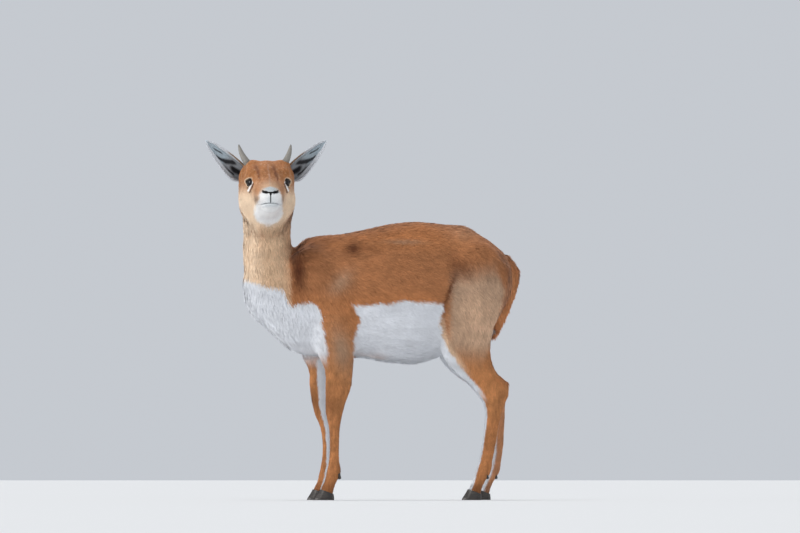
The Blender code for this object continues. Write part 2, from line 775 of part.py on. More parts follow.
NECK_PLANE = ((0.213, 0, 0.655), (0.82, 0, 0.57))
THROAT_PLANE = ((-0.105, 0, 0.0), (0.74, 0, 0.67))


def finish(obj):
    """Gives a node its own material and smooth shading between its hard edges."""
    kind = next(kind for kind in FINISHES if obj.name.startswith(kind))
    colour, roughness = FINISHES[kind]
    material = bpy.data.materials.new(obj.name)
    material.use_nodes = True
    shader = material.node_tree.nodes["Principled BSDF"]
    shader.inputs["Base Color"].default_value = (*colour, 1)
    shader.inputs["Roughness"].default_value = roughness
    obj.data.materials.clear()
    obj.data.materials.append(material)
    obj.data.shade_smooth()
    obj.data.set_sharp_from_angle(angle=HARD_EDGE)


def set_on_origin(objects):
    """Moves the whole model so that its origin is the middle of the bottom of its bounding box."""
    corners = [vertex.co for obj in objects for vertex in obj.data.vertices]
    low = Vector([min(corner[axis] for corner in corners) for axis in range(3)])
    high = Vector([max(corner[axis] for corner in corners) for axis in range(3)])
    middle = Vector(((low.x + high.x) / 2, (low.y + high.y) / 2, low.z))
    for obj in objects:
        obj.data.transform(Matrix.Translation(-middle))


def main():
    for obj in list(bpy.data.objects):
        bpy.data.objects.remove(obj)
    rest = thinned(whole_flesh(), FLESH_FACES, body_coarseness)
    tail(rest)
    for s in (1, -1):
        ear(s, rest)
        horn(s, rest)
    for name, (centre, size, lean) in LEG_BOXES.items():
        leg, rest = boxed(rest, centre, size, lean)
        end = name.split("_")[0]
        upper, lower = parted(leg, (0, 0, KNEE_HEIGHT[end]), (0, 0, 1))
        foot, below_coronet = parted(lower, *coronet(name))
        remove(below_coronet)
        named(upper, "upper_leg_" + name)
        named(foot, "lower_leg_" + name)
        for side in (1, -1):
            claw(name, side)
            dewclaw(name, side, foot)
    top, torso = parted(rest, *NECK_PLANE)
    named(torso, "torso")
    point = HEAD_FRAME @ Vector(THROAT_PLANE[0])
    head, neck_piece = parted(top, point, HEAD_FRAME.to_3x3() @ Vector(THROAT_PLANE[1]))
    named(neck_piece, "neck")
    named(head, "head")
    bpy.context.view_layer.update()
    combined(head, [lid(1, head), lid(-1, head)], "UNION")
    combined(head, [mouth_cutter()], "DIFFERENCE")
    for s in (1, -1):
        for cutter in eye_cutters(s) + nostril_cutters(s):
            combined(head, [cutter], "DIFFERENCE")
        eye(s)
    for obj in bpy.data.objects:
        finish(obj)
    set_on_origin(bpy.data.objects)


if __name__ == "__main__":
    main()
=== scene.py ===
"""The looks of a young blackbuck, laid out as a Blender add-on and run as a script.

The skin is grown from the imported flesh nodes, sunk by the depth of the coat, and refined round the eyes, nose and
mouth. Solid tufts of hair are then set over it. Skin and coat read their colours from one function of place.
"""

import math

import bpy
import numpy as np
from bpy.props import FloatProperty, FloatVectorProperty, IntProperty, PointerProperty
from mathutils import Matrix, Vector
from mathutils.bvhtree import BVHTree
from mathutils.kdtree import KDTree


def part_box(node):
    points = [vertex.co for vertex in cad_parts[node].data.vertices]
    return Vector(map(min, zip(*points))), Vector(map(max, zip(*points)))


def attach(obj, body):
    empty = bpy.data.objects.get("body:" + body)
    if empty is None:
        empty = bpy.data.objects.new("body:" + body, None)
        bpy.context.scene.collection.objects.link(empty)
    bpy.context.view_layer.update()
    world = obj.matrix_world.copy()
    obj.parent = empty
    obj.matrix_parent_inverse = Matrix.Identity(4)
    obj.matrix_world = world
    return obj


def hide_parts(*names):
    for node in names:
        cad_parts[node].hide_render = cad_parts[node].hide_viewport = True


bl_info = {
    "name": "Blackbuck",
    "version": (1, 0, 0),
    "blender": (4, 5, 0),
    "location": "3D View > Sidebar > Blackbuck",
    "description": "Skin, coat, eyes, horns and hooves of a standing young blackbuck",
    "category": "Object",
}

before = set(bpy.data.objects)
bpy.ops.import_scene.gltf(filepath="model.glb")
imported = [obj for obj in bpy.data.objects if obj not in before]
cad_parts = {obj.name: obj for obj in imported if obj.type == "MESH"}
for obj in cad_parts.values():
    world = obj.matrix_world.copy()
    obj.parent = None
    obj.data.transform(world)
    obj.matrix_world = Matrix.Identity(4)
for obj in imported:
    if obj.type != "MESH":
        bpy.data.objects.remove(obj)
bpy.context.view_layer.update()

LEGS = ("fore_left", "fore_right", "hind_left", "hind_right")
FLESH = ["head", "neck", "torso", "tail"] + ["%s_leg_%s" % (part, leg) for leg in LEGS for part in ("upper", "lower")]
SIDES = (("left", 1), ("right", -1))

# The head's own frame: u towards the nose, v its left, w up, from the middle between the eyes
HEAD_TURN = math.radians(82)
HEAD_AT = np.array((0.2868, 0.080, 0.860))
HEAD_AXES = np.array(Matrix.Rotation(HEAD_TURN, 3, "Z"))
EYE_RADIUS = 0.0165
EYE_AT = np.array((0.0020, 0.0410, -0.0045))
EYE_FACING = np.array((0.66, 0.74, 0.08)) / np.linalg.norm((0.66, 0.74, 0.08))
EYE_TILT = math.radians(14)

# In the head's frame: the ear's root and tip, the way its cup faces, and how far up the ear, half the width there
# and half the angle that the cup wraps round
EAR_ROOT = np.array((-0.064, 0.0640, 0.0100))
EAR_TIP = np.array((-0.078, 0.1595, 0.1070))
EAR_FACING = np.array((1.0, 0.15, -0.10))
EAR_WALL = 0.0028
EAR_ROWS = (
    (0.00, 0.0165, 112),
    (0.10, 0.0235, 104),
    (0.22, 0.0255, 94),
    (0.40, 0.0242, 78),
    (0.56, 0.0215, 64),
    (0.75, 0.0165, 52),
    (0.90, 0.0105, 44),
    (1.00, 0.0022, 40),
)

# The horn's middle line and thickness from root to tip, and how far both lean to the animal's right
HORN_RADIUS = 0.0098
HORN_LEAN = 0.062
HORN_ROWS = (
    (0.0, -0.0390, 0.0475, 0.0360, 1.00),
    (1.0, -0.0400, 0.0515, 0.0500, 1.00),
    (2.1, -0.0425, 0.0590, 0.0640, 0.84),
    (3.2, -0.0450, 0.0650, 0.0780, 0.64),
    (4.1, -0.0465, 0.0685, 0.0900, 0.42),
    (4.6, -0.0470, 0.0700, 0.0965, 0.24),
    (4.9, -0.0470, 0.0700, 0.1000, 0.06),
)

# The tail's middle line, as places behind the trunk's middle for each height
TAIL_HEIGHTS = (0.440, 0.456, 0.480, 0.512, 0.552, 0.595, 0.628, 0.652)
TAIL_PLACES = (-0.348, -0.356, -0.369, -0.385, -0.401, -0.411, -0.408, -0.392)


# Small tools
def ramp(value, start, end):
    """0 before start, 1 after end, smooth between them."""
    t = np.clip((value - start) / (end - start), 0, 1)
    return t * t * (3 - 2 * t)


def unit(vectors):
    return vectors / np.maximum(np.linalg.norm(vectors, axis=-1, keepdims=True), 1e-12)


def dots(a, b):
    return (a * b).sum(-1, keepdims=True)


def mixed(a, b, share):
    share = np.asarray(share)[..., None]
    return a * (1 - share) + b * share


def noise(points, size, seed=0):
    """A smooth random value from -1 to 1 for each point, with features about so many metres across."""
    q = points / size + seed * 17.31
    cell = np.floor(q)
    f = q - cell
    f = f * f * (3 - 2 * f)
    total = np.zeros(len(points))
    for corner in range(8):
        step = np.array([(corner >> k) & 1 for k in range(3)])
        dot = (cell + step) @ np.array((127.1, 311.7, 74.7))
        value = np.modf(np.abs(np.sin(dot) * 43758.5453))[0]
        total += value * np.prod(np.where(step == 1, f, 1 - f), axis=1)
    return total * 2 - 1


def from_table(table, at):
    """The columns of a table at places along its first one, with a smooth curve between its rows."""
    table = np.array(table, float)
    knots = table[:, 0]
    slopes = np.gradient(table[:, 1:], knots, axis=0)
    i = np.clip(np.searchsorted(knots, at) - 1, 0, len(knots) - 2)
    width = (knots[i + 1] - knots[i])[:, None]
    t = (at - knots[i])[:, None] / width
    start = 2 * t**3 - 3 * t**2 + 1
    lead, tail = (t**3 - 2 * t**2 + t) * width, (t**3 - t**2) * width
    return start * table[i, 1:] + lead * slopes[i] + (1 - start) * table[i + 1, 1:] + tail * slopes[i + 1]


def sheet_faces(rows, columns, closed=False):
    """Quads between the points of a grid; a closed one joins its last column to its first."""
    i, j = np.meshgrid(np.arange(rows - 1), np.arange(columns if closed else columns - 1), indexing="ij")
    i, j = i.ravel(), j.ravel()
    k = (j + 1) % columns
    return np.stack([i * columns + j, i * columns + k, (i + 1) * columns + k, (i + 1) * columns + j], 1)


def node_mesh(name):
    """A CAD node's points and triangles."""
    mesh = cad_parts[name].data
    mesh.calc_loop_triangles()
    points = np.empty(len(mesh.vertices) * 3)
    mesh.vertices.foreach_get("co", points)
    faces = np.empty(len(mesh.loop_triangles) * 3, np.int32)
    mesh.loop_triangles.foreach_get("vertices", faces)
    return points.reshape(-1, 3), faces.reshape(-1, 3)


def normals_of(points, faces):
    a, b, c = (points[faces[:, k]] for k in range(3))
    face_normals = np.cross(b - a, c - a)
    found = np.zeros_like(points)
    for k in range(3):
        for axis in range(3):
            found[:, axis] += np.bincount(faces[:, k], face_normals[:, axis], len(points))
    return unit(found)


def merged(points, faces):
    """Joins points that lie on each other, as the frame's own shading splits them."""
    keys = np.round(points, 6)
    _, first, back = np.unique(keys, axis=0, return_index=True, return_inverse=True)
    return points[first], back.reshape(-1)[faces]


def grown(points, faces, distance):
    points, faces = merged(points, faces)
    return points + normals_of(points, faces) * distance, faces


def stacked(parts):
    """Several meshes as one."""
    points, faces, start = [], [], 0
    for p, f in parts:
        points.append(p)
        faces.append(f + start)
        start += len(p)
    return np.concatenate(points), np.concatenate(faces)


def filled_mesh(name, points, faces):
    """A mesh of triangles or quads from arrays."""
    mesh = bpy.data.meshes.new(name)
    sides = faces.shape[1]
    mesh.vertices.add(len(points))
    mesh.vertices.foreach_set("co", np.ascontiguousarray(points, np.float32).ravel())
    mesh.loops.add(faces.size)
    mesh.loops.foreach_set("vertex_index", np.ascontiguousarray(faces, np.int32).ravel())
    mesh.polygons.add(len(faces))
    mesh.polygons.foreach_set("loop_start", np.arange(len(faces), dtype=np.int32) * sides)
    mesh.update(calc_edges=True)
    mesh.shade_smooth()
    return mesh


def piece(name, points, faces, material, stands_for=()):
    """A finished piece that rides with the body; points are in the model's own place."""
    obj = bpy.data.objects.new(name, filled_mesh(name, points + ORIGIN, faces))
    bpy.context.scene.collection.objects.link(obj)
    obj.data.materials.append(material)
    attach(obj, "root")
    if stands_for:
        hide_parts(*stands_for)
    return obj


def paint(obj, name, values):
    """Stores a colour for each vertex."""
    attribute = obj.data.attributes.new(name, "FLOAT_COLOR", "POINT")
    full = np.ones((len(values), 4), np.float32)
    full[:, :3] = values
    attribute.data.foreach_set("color", full.ravel())


def middle_of(name):
    low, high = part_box(name)
    return np.array((low + high) / 2)


def head_point(local):
    """A point given in the head's own frame."""
    return np.asarray(local) @ HEAD_AXES.T + HEAD_AT


def in_head(points):
    return (points - HEAD_AT) @ HEAD_AXES


ORIGIN = (middle_of("eye_left") + middle_of("eye_right")) / 2 - head_point((EYE_AT[0], 0, EYE_AT[2]))


# Regions of the body, each a share from 0 to 1
def head_share(points):
    local = in_head(points)
    return ramp((local[:, 0] + 0.105) * 0.741 + local[:, 2] * 0.671, -0.014, 0.014) * ramp(points[:, 2], 0.66, 0.72)


def jaw_share(points):
    """As head_share, but with a wide blend into the neck."""
    local = in_head(points)
    return ramp((local[:, 0] + 0.105) * 0.741 + local[:, 2] * 0.671, -0.030, 0.055) * ramp(points[:, 2], 0.66, 0.72)


def neck_share(points):
    ahead = (points[:, 0] - 0.213) * 0.821 + (points[:, 2] - 0.655) * 0.571
    return ramp(ahead, -0.035, 0.035) * (1 - head_share(points))


def fore_share(points):
    return (
        (1 - ramp(points[:, 2], 0.365, 0.43))
        * ramp(points[:, 0], -0.06, -0.02)
        * ramp(np.abs(points[:, 1]), 0.022, 0.040)
    )


def hind_share(points):
    return (1 - ramp(points[:, 2], 0.40, 0.47)) * (1 - ramp(points[:, 0], -0.205, -0.165))


def tail_share(points):
    x, y, z = points.T
    middle = np.interp(z, TAIL_HEIGHTS, TAIL_PLACES)
    near = (1 - ramp(np.abs(x - middle + 0.003), 0.015, 0.022)) * (1 - ramp(np.abs(y), 0.020, 0.026))
    return near * ramp(z, 0.43, 0.445) * (1 - ramp(z, 0.645, 0.665))


# The skin
def ball(centre, radius, count=24):
    """A sphere's points and triangles."""
    rows = count // 2
    points, faces = [], []
    for i in range(1, rows):
        a = math.pi * i / rows
        for j in range(count):
            b = 2 * math.pi * j / count
            points.append((math.sin(a) * math.cos(b), math.sin(a) * math.sin(b), math.cos(a)))
    for i in range(rows - 2):
        for j in range(count):
            k = (j + 1) % count
            a, b, c, d = i * count + j, i * count + k, (i + 1) * count + k, (i + 1) * count + j
            faces += [(a, d, c), (a, c, b)]
    top, bottom = len(points), len(points) + 1
    points += [(0, 0, 1), (0, 0, -1)]
    last = (rows - 2) * count
    for j in range(count):
        k = (j + 1) % count
        faces += [(top, j, k), (bottom, last + k, last + j)]
    return np.array(points) * radius + centre, np.array(faces)


def voxel_skin(points, faces, voxel):
    """One closed skin round overlapping closed forms, as points and triangles."""
    mesh = filled_mesh("raw", points, faces)
    obj = bpy.data.objects.new("raw", mesh)
    bpy.context.scene.collection.objects.link(obj)
    step = obj.modifiers.new("fuse", "REMESH")
    step.mode = "VOXEL"
    step.voxel_size = voxel
    bpy.context.view_layer.update()
    made = bpy.data.meshes.new_from_object(obj.evaluated_get(bpy.context.evaluated_depsgraph_get()))
    bpy.data.objects.remove(obj)
    bpy.data.meshes.remove(mesh)
    points = np.empty(len(made.vertices) * 3)
    made.vertices.foreach_get("co", points)
    made.calc_loop_triangles()
    faces = np.empty(len(made.loop_triangles) * 3, np.int32)
    made.loop_triangles.foreach_get("vertices", faces)
    bpy.data.meshes.remove(made)
    return points.reshape(-1, 3), faces.reshape(-1, 3)


def edges_of(faces):
    pairs = np.sort(np.concatenate([faces[:, [0, 1]], faces[:, [1, 2]], faces[:, [2, 0]]]), axis=1)
    return np.unique(pairs, axis=0)


def smoothed(points, faces, rounds, share):
    """Evens the skin out; share gives each point's part of it."""
    pairs = edges_of(faces)
    a, b = pairs[:, 0], pairs[:, 1]
    count = len(points)
    degree = (np.bincount(a, minlength=count) + np.bincount(b, minlength=count))[:, None]
    share = 0.6 * np.asarray(share).reshape(-1, 1)
    for _ in range(rounds):
        sums = np.stack(
            [np.bincount(a, points[b, k], count) + np.bincount(b, points[a, k], count) for k in range(3)], axis=1
        )
        points = points + share * (sums / degree - points)
    return points


def refined(points, faces, chosen):
    """Splits the edges of the chosen triangles in half, and their neighbours to suit."""
    corners = np.concatenate([faces[:, [0, 1]], faces[:, [1, 2]], faces[:, [2, 0]]])
    pairs, index = np.unique(np.sort(corners, axis=1), axis=0, return_inverse=True)
    index = index.reshape(3, -1).T
    split = np.zeros(len(pairs), bool)
    split[index[chosen].ravel()] = True
    number = np.full(len(pairs), -1)
    number[split] = len(points) + np.arange(split.sum())
    points = np.concatenate([points, points[pairs[split]].mean(axis=1)])
    middle = number[index]
    cuts = (middle >= 0).sum(axis=1)
    found = [faces[cuts == 0]]
    for k in range(3):
        order = [(k + j) % 3 for j in range(3)]
        f, m = faces[:, order], middle[:, order]
        one = (cuts == 1) & (m[:, 0] >= 0)
        found += [
            np.stack([f[one, 0], m[one, 0], f[one, 2]], 1),
            np.stack([m[one, 0], f[one, 1], f[one, 2]], 1),
        ]
        two = (cuts == 2) & (m[:, 0] >= 0) & (m[:, 1] >= 0)
        found += [
            np.stack([m[two, 0], f[two, 1], m[two, 1]], 1),
            np.stack([f[two, 0], m[two, 0], m[two, 1]], 1),
            np.stack([f[two, 0], m[two, 1], f[two, 2]], 1),
        ]
    all_three = cuts == 3
    f, m = faces[all_three], middle[all_three]
    found += [
        np.stack([f[:, 0], m[:, 0], m[:, 2]], 1),
        np.stack([m[:, 0], f[:, 1], m[:, 1]], 1),
        np.stack([m[:, 2], m[:, 1], f[:, 2]], 1),
        m,
    ]
    return points, np.concatenate(found)


def coat_depth(points):
    """How deep the skin lies under the coat's tips, in metres."""
    return 0.0004 + 0.98 * hair_length(points) * lift(points)


def mixed_value(a, b, share):
    return a * (1 - share) + b * share


def eye_frames():
    """For each eye: its side, middle, the way it faces, the way along the lids and up, all in the model's place."""
    for _, s in SIDES:
        mirror = np.array((1, s, 1))
        facing = EYE_FACING * mirror
        along = np.cross(np.array((0, 0, 1.0)), facing)
        along = unit(along) * -s
        up = np.cross(along, facing) * s
        turn = EYE_TILT
        along, up = (
            along * math.cos(turn) - up * math.sin(turn),
            up * math.cos(turn) + along * math.sin(turn),
        )
        yield s, head_point(EYE_AT * mirror), facing @ HEAD_AXES.T, along @ HEAD_AXES.T, up @ HEAD_AXES.T


def lid_reach(across, rise, settings):
    """1 on the almond line between the lids, less inside it; across runs towards the nose."""
    length, height = settings.eye_length / 2, settings.eye_height / 2
    pointed = 1 - 0.25 * ramp(np.abs(across), 0.4 * length, length)
    return np.sqrt((across / length) ** 2 + (rise / (height * pointed)) ** 2)


def skin_forms(settings):
    """The skin's points and triangles, in the model's place."""
    parts = [grown(*node_mesh(name), 0.0004) for name in FLESH]
    for side, _ in SIDES:
        low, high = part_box("eye_" + side)
        parts.append(ball(np.array((low + high) / 2), EYE_RADIUS + 0.0012, 32))
    for _, s in SIDES:
        parts.append(ball(head_point((0.1000, s * 0.0135, -0.0330)) + ORIGIN, 0.0085))
        root, axis, facing, _, _ = ear_axes(s)
        parts.append(ball(head_point(root - facing * 0.010) + ORIGIN, 0.0140))
    for height in np.arange(0.475, 0.640, 0.008):
        place = np.interp(height, TAIL_HEIGHTS, TAIL_PLACES) + 0.013
        for aside in (-0.010, 0.010):
            parts.append(ball(np.array((place, aside, height)) + ORIGIN, 0.0125))
    for place, height in ((-0.397, 0.6455), (-0.391, 0.6515), (-0.383, 0.658)):
        parts.append(ball(np.array((place, 0.0, height)) + ORIGIN, 0.0110))
    points, faces = voxel_skin(*stacked(parts), settings.voxel)
    points = points - ORIGIN
    head = head_share(points)
    legs = np.maximum(fore_share(points), hind_share(points))
    points = smoothed(points, faces, 16, np.clip(1 - 0.75 * head - 0.8 * legs, 0.15, 1))
    local = in_head(points)
    crease = hump(((local[:, 0] + 0.105) * 0.741 + local[:, 2] * 0.671) / 0.030) * ramp(points[:, 2], 0.66, 0.72)
    points = smoothed(points, faces, 40, np.clip(crease, 0.0, 0.9))
    points = points - normals_of(points, faces) * coat_depth(points)[:, None]
    return points, faces


def skin_refined(points, faces, settings):
    """Finer triangles on the head, and finest round the eyes and on the muzzle."""
    middle = points[faces].mean(axis=1)
    points, faces = refined(points, faces, head_share(middle) > 0.5)
    middle = points[faces].mean(axis=1)
    local = in_head(middle)
    near = (local[:, 0] > 0.068) & (np.abs(local[:, 1]) < 0.030) & (head_share(middle) > 0.5)
    for _, centre, facing, _, _ in eye_frames():
        near |= np.linalg.norm(middle - centre - facing * 0.010, axis=1) < 0.021
    points, faces = refined(points, faces, near)
    return points, faces


def dent(points, local, centre, radii, depth, normals):
    """Pushes the skin in, or out for a depth below 0, over an ellipsoid in the head's frame."""
    reach = np.linalg.norm((local - centre) / radii, axis=1)
    return points - normals * (depth * (1 - ramp(reach, 0.35, 1.0)))[:, None]


def groove(points, local, start, end, width, depth, normals):
    """Presses a soft line into the skin between two points of the head's frame."""
    start, end = np.array(start), np.array(end)
    along = end - start
    t = np.clip((local - start) @ along / (along @ along), 0, 1)
    away = np.linalg.norm(local - start - t[:, None] * along, axis=1)
    taper = 0.45 + 0.55 * np.sin(math.pi * np.clip(t, 0.05, 0.95))
    return points - normals * (depth * taper * (1 - ramp(away, 0.2 * width, width)))[:, None]


def mouth_line(local):
    """How far above the line of the mouth a point of the muzzle lies."""
    back = ramp(0.100 - local[:, 0], 0.0, 0.05)
    return local[:, 2] + 0.0600 - 0.0030 * back + 0.0060 * (np.abs(local[:, 1]) / 0.03) ** 2


def carved(points, faces, settings):
    """Nostrils, the groove below them, the mouth, brow furrows, tear slits and the hollows for the eyes."""
    points = points.copy()
    normals = normals_of(points, faces)
    local = in_head(points)
    for s in (1, -1):
        points = groove(
            points, local, (0.094, s * 0.0215, -0.0290), (0.1135, s * 0.0075, -0.0345), 0.0036, 0.0050, normals
        )
        points = dent(points, local, (0.1100, s * 0.0085, -0.0345), (0.006, 0.0045, 0.0034), 0.0030, normals)
        points = dent(points, local, (0.0960, s * 0.0230, -0.0385), (0.010, 0.007, 0.006), -0.0012, normals)
        points = dent(points, local, (0.0980, s * 0.0200, -0.0225), (0.012, 0.009, 0.005), -0.0010, normals)
        points = groove(
            points, local, (0.052, s * 0.0200, 0.040), (0.036, s * 0.0260, 0.005), 0.0070, 0.0016, normals
        )
        points = groove(
            points, local, (0.030, s * 0.0400, -0.012), (0.042, s * 0.0440, -0.034), 0.0040, 0.0018, normals
        )
    points = groove(points, local, (0.113, 0, -0.036), (0.112, 0, -0.0590), 0.0024, 0.0012, normals)
    ahead = ramp(local[:, 0], 0.062, 0.072) * (local[:, 2] > -0.09)
    lip = mouth_line(local)
    points = points - normals * (0.0020 * ahead * (1 - ramp(np.abs(lip), 0.0003, 0.0021)))[:, None]
    points = points + normals * (0.0009 * ahead * np.exp(-(((lip - 0.0042) / 0.0024) ** 2)))[:, None]
    points = points + normals * (0.0009 * ahead * np.exp(-(((lip + 0.0042) / 0.0026) ** 2)))[:, None]
    for _, centre, facing, along, up in eye_frames():
        away = points - centre
        reach = np.linalg.norm(away, axis=1)
        ahead = away @ facing
        near = (ahead > 0.001) & (reach < EYE_RADIUS + 0.012)
        inside = lid_reach(away @ along, away @ up, settings)
        sunk = ramp(1.16 - inside, 0.0, 0.10) * near
        wanted = np.where(near & (inside < 1.5), np.maximum(reach, EYE_RADIUS + 0.0010), reach)
        wanted = wanted * (1 - sunk) + (EYE_RADIUS - 0.0030) * sunk
        points = centre + away * (wanted / reach)[:, None]
    return points


# Ears, eyes, lids and horns
def ear_axes(s):
    """The ear's root, the ways along it, out of its cup and across it, and its length, in the head's frame."""
    mirror = np.array((1, s, 1))
    root, tip = EAR_ROOT * mirror, EAR_TIP * mirror
    length = np.linalg.norm(tip - root)
    axis = (tip - root) / length
    facing = EAR_FACING * mirror
    facing = unit(facing - axis * (facing @ axis))
    return root, axis, facing, np.cross(axis, facing), length


def ear_points(s, along, across, depth):
    """Points of the ear: along from 0 to 1, across from -1 on the upper edge to 1, depth 1 outside and -1 inside."""
    root, axis, facing, sideways, length = ear_axes(s)
    width, wrap = from_table(EAR_ROWS, along).T
    wrap = np.radians(wrap)
    radius = width / np.sin(np.minimum(wrap, math.pi / 2))
    line = root + axis * (along * length)[:, None] + facing * (radius * np.cos(wrap) * 0.8)[:, None]
    wall = EAR_WALL * (1 - 0.45 * np.abs(across) ** 3) * (1 - 0.35 * along)
    ridges = 0.0011 * np.cos(across * 9.0 + 0.6) * (depth < 0) * ramp(0.95 - along, 0.0, 0.3) * (1 - across**4)
    angle = wrap * across * s
    ray = sideways * np.sin(angle)[:, None] - facing * np.cos(angle)[:, None]
    reach = np.maximum(radius + depth * wall / 2 - ridges, 0.0004)
    return head_point(line + ray * reach[:, None])


def ear_mesh(s):
    """The ear's points, quads, and each point's place along, across and through it."""
    rows, columns = 56, 30
    turn = np.linspace(-1, 1, columns)
    edge = 0.04
    across = np.concatenate([turn, [1 + edge], turn[::-1], [-1 - edge]])
    depth = np.concatenate([np.ones(columns), [0], -np.ones(columns), [0]])
    along = np.repeat(np.linspace(0, 1, rows) ** 0.9, len(across))
    across, depth = np.tile(across, rows), np.tile(depth, rows)
    points = ear_points(s, along, across, depth)
    faces = sheet_faces(rows, 2 * columns + 2, closed=True)
    if s < 0:
        faces = faces[:, ::-1]
    return points, faces, np.stack([along, across, depth], 1)


def ear_line(place, start, end, width):
    """A soft line inside the ear, in its own places along and across."""
    start, end = np.array(start), np.array(end)
    step = end - start
    t = np.clip((place[:, :2] - start) @ step / (step @ step), 0, 1)
    away = (place[:, :2] - start - t[:, None] * step) * (1.9, 1.0)
    return 1 - ramp(np.linalg.norm(away, axis=1), 0.35 * width, width)


def ear_colours(place, settings):
    """Tan behind, white on the rim and inside, with dark skin between the ridges of white hair."""
    along, across, depth = place.T
    white, dark = np.array(settings.white), np.array(settings.black) * 2.0
    back = np.array(settings.ear_back)
    inside = np.broadcast_to(white * (0.72, 0.82, 0.86), (len(place), 3))
    grey = ramp(0.58 - along, 0.0, 0.20) * (1 - ramp(np.abs(across), 0.45, 0.70))
    inside = mixed(inside, white * (0.52, 0.45, 0.43), 0.55 * grey)
    shade = np.zeros(len(place))
    for start, end, width, strength in (
        ((0.80, 0.02), (0.66, -0.20), 0.12, 0.80),
        ((0.63, 0.50), (0.50, 0.20), 0.17, 0.92),
        ((0.50, 0.20), (0.36, -0.25), 0.20, 0.95),
        ((0.50, 0.66), (0.20, 0.40), 0.12, 0.90),
        ((0.24, 0.10), (0.06, -0.05), 0.30, 1.00),
    ):
        shade = np.maximum(shade, strength * ear_line(place, start, end, width))
    inside = mixed(inside, dark, shade)
    inside = mixed(inside, white * 1.15, np.clip(ramp(across, 0.50, 0.66) + ramp(-across, 0.60, 0.74), 0, 1))
    inside = mixed(inside, back, 0.85 * ramp(-across + 0.25 * ramp(0.40 - along, 0.0, 0.25), 0.90, 0.98) * ramp(0.62 - along, 0.0, 0.12))
    outside = np.broadcast_to(back, inside.shape)
    outside = mixed(outside, back * 0.72, 0.8 * ramp(along, 0.55, 0.95))
    pale = ramp(across, 0.60, 0.80) + ramp(-across, 0.70, 0.90) * ramp(along, 0.40, 0.60)
    outside = mixed(outside, white, np.clip(pale, 0, 1))
    return mixed(outside, inside, ramp(-depth, -0.2, 0.2))


def eye_mesh(s, centre, facing, along, up, settings):
    """A fine eyeball with a slight swell in front, and its colours."""
    points, faces = ball(np.zeros(3), 1.0, 64)
    swell = 0.030 * np.exp(-(((1 - points @ facing) / 0.10) ** 2))
    out = points @ facing
    side, rise = points @ along, points @ up
    pupil = 1 - ramp(np.hypot(side / 0.34, rise / 0.22), 0.9, 1.08)
    iris = 1 - ramp(np.hypot(side, rise), 0.62, 0.70)
    colour = np.broadcast_to(np.array((0.010, 0.006, 0.005)), points.shape)
    brown = np.array(settings.iris)
    fibres = 0.8 + 0.35 * noise(np.stack([np.arctan2(rise, side) * 6, out * 3, side * 0], 1), 0.5, 30)
    colour = mixed(colour, brown * fibres[:, None], iris * (out > 0))
    colour = mixed(colour, np.array((0.004, 0.004, 0.005)), pupil * (out > 0))
    return centre + points * (EYE_RADIUS * (1 + swell))[:, None], faces, colour.clip(0.002, 1)


def lid_mesh(tree, centre, facing, along, up, settings):
    """A ring of lid from inside the eye's front out to the skin, with the share of dark margin for each point."""
    count = 72
    angle = np.arange(count) * 2 * math.pi / count
    half_length, half_height = settings.eye_length / 2, settings.eye_height / 2
    rings, margins = [], []
    for scale, rise, seat, margin in (
        (0.88, -0.0006, 0.0, 1.0),
        (0.93, 0.0003, 0.0, 1.0),
        (0.97, 0.0013, 0.0, 1.0),
        (1.02, 0.0020, 0.0, 0.9),
        (1.08, 0.0021, 0.15, 0.3),
        (1.16, 0.0018, 0.5, 0.0),
        (1.26, 0.0010, 0.9, 0.0),
        (1.40, -0.0008, 1.0, 0.0),
    ):
        side = half_length * np.cos(angle) * scale
        pointed = 1 - 0.25 * ramp(np.abs(side), 0.4 * half_length, half_length)
        lift = half_height * np.sin(angle) * scale * pointed
        ahead = np.sqrt(np.maximum(EYE_RADIUS**2 - side**2 - lift**2, (0.12 * EYE_RADIUS) ** 2))
        way = unit(facing * ahead[:, None] + along * side[:, None] + up * lift[:, None])
        reach = np.full(count, EYE_RADIUS + rise)
        if seat > 0:
            for k in range(count):
                start = centre + way[k] * (EYE_RADIUS - 0.004)
                hit = tree.ray_cast(Vector(start), Vector(way[k]), 0.03)
                skin = (hit[3] if hit[0] is not None else 0.005) + EYE_RADIUS - 0.004
                reach[k] = reach[k] * (1 - seat) + max(skin + min(rise, 0.0003), EYE_RADIUS + 0.0004) * seat
        rings.append(centre + way * reach[:, None])
        margins.append(np.full(count, margin))
    return np.concatenate(rings), sheet_faces(len(rings), count, closed=True), np.concatenate(margins)


def horn_mesh(s):
    """A short spike with faint growth rings, its points, quads, and each point's place from root to tip."""
    rows, around = 72, 28
    at = np.linspace(0, 4.9, rows)
    x, y, z, share = from_table(HORN_ROWS, at).T
    rings = 1 + 0.035 * np.sin(at * 11.0) * ramp(3.0 - at, 0.0, 2.0)
    line = np.stack([x, s * y - HORN_LEAN * (z - 0.005), z], 1)
    ahead = unit(np.gradient(line, axis=0))
    side = unit(np.cross(ahead, (1.0, 0, 0)))
    front = np.cross(side, ahead)
    turn = np.arange(around) * 2 * math.pi / around
    radius = HORN_RADIUS * np.maximum(share, 0.01) * rings
    ray = side[:, None] * np.cos(turn)[None, :, None] + front[:, None] * np.sin(turn)[None, :, None]
    points = line[:, None] + ray * radius[:, None, None]
    cap = np.arange(around)[::-1] + (rows - 1) * around
    return head_point(points.reshape(-1, 3)), sheet_faces(rows, around, closed=True), np.repeat(at / 4.9, around)


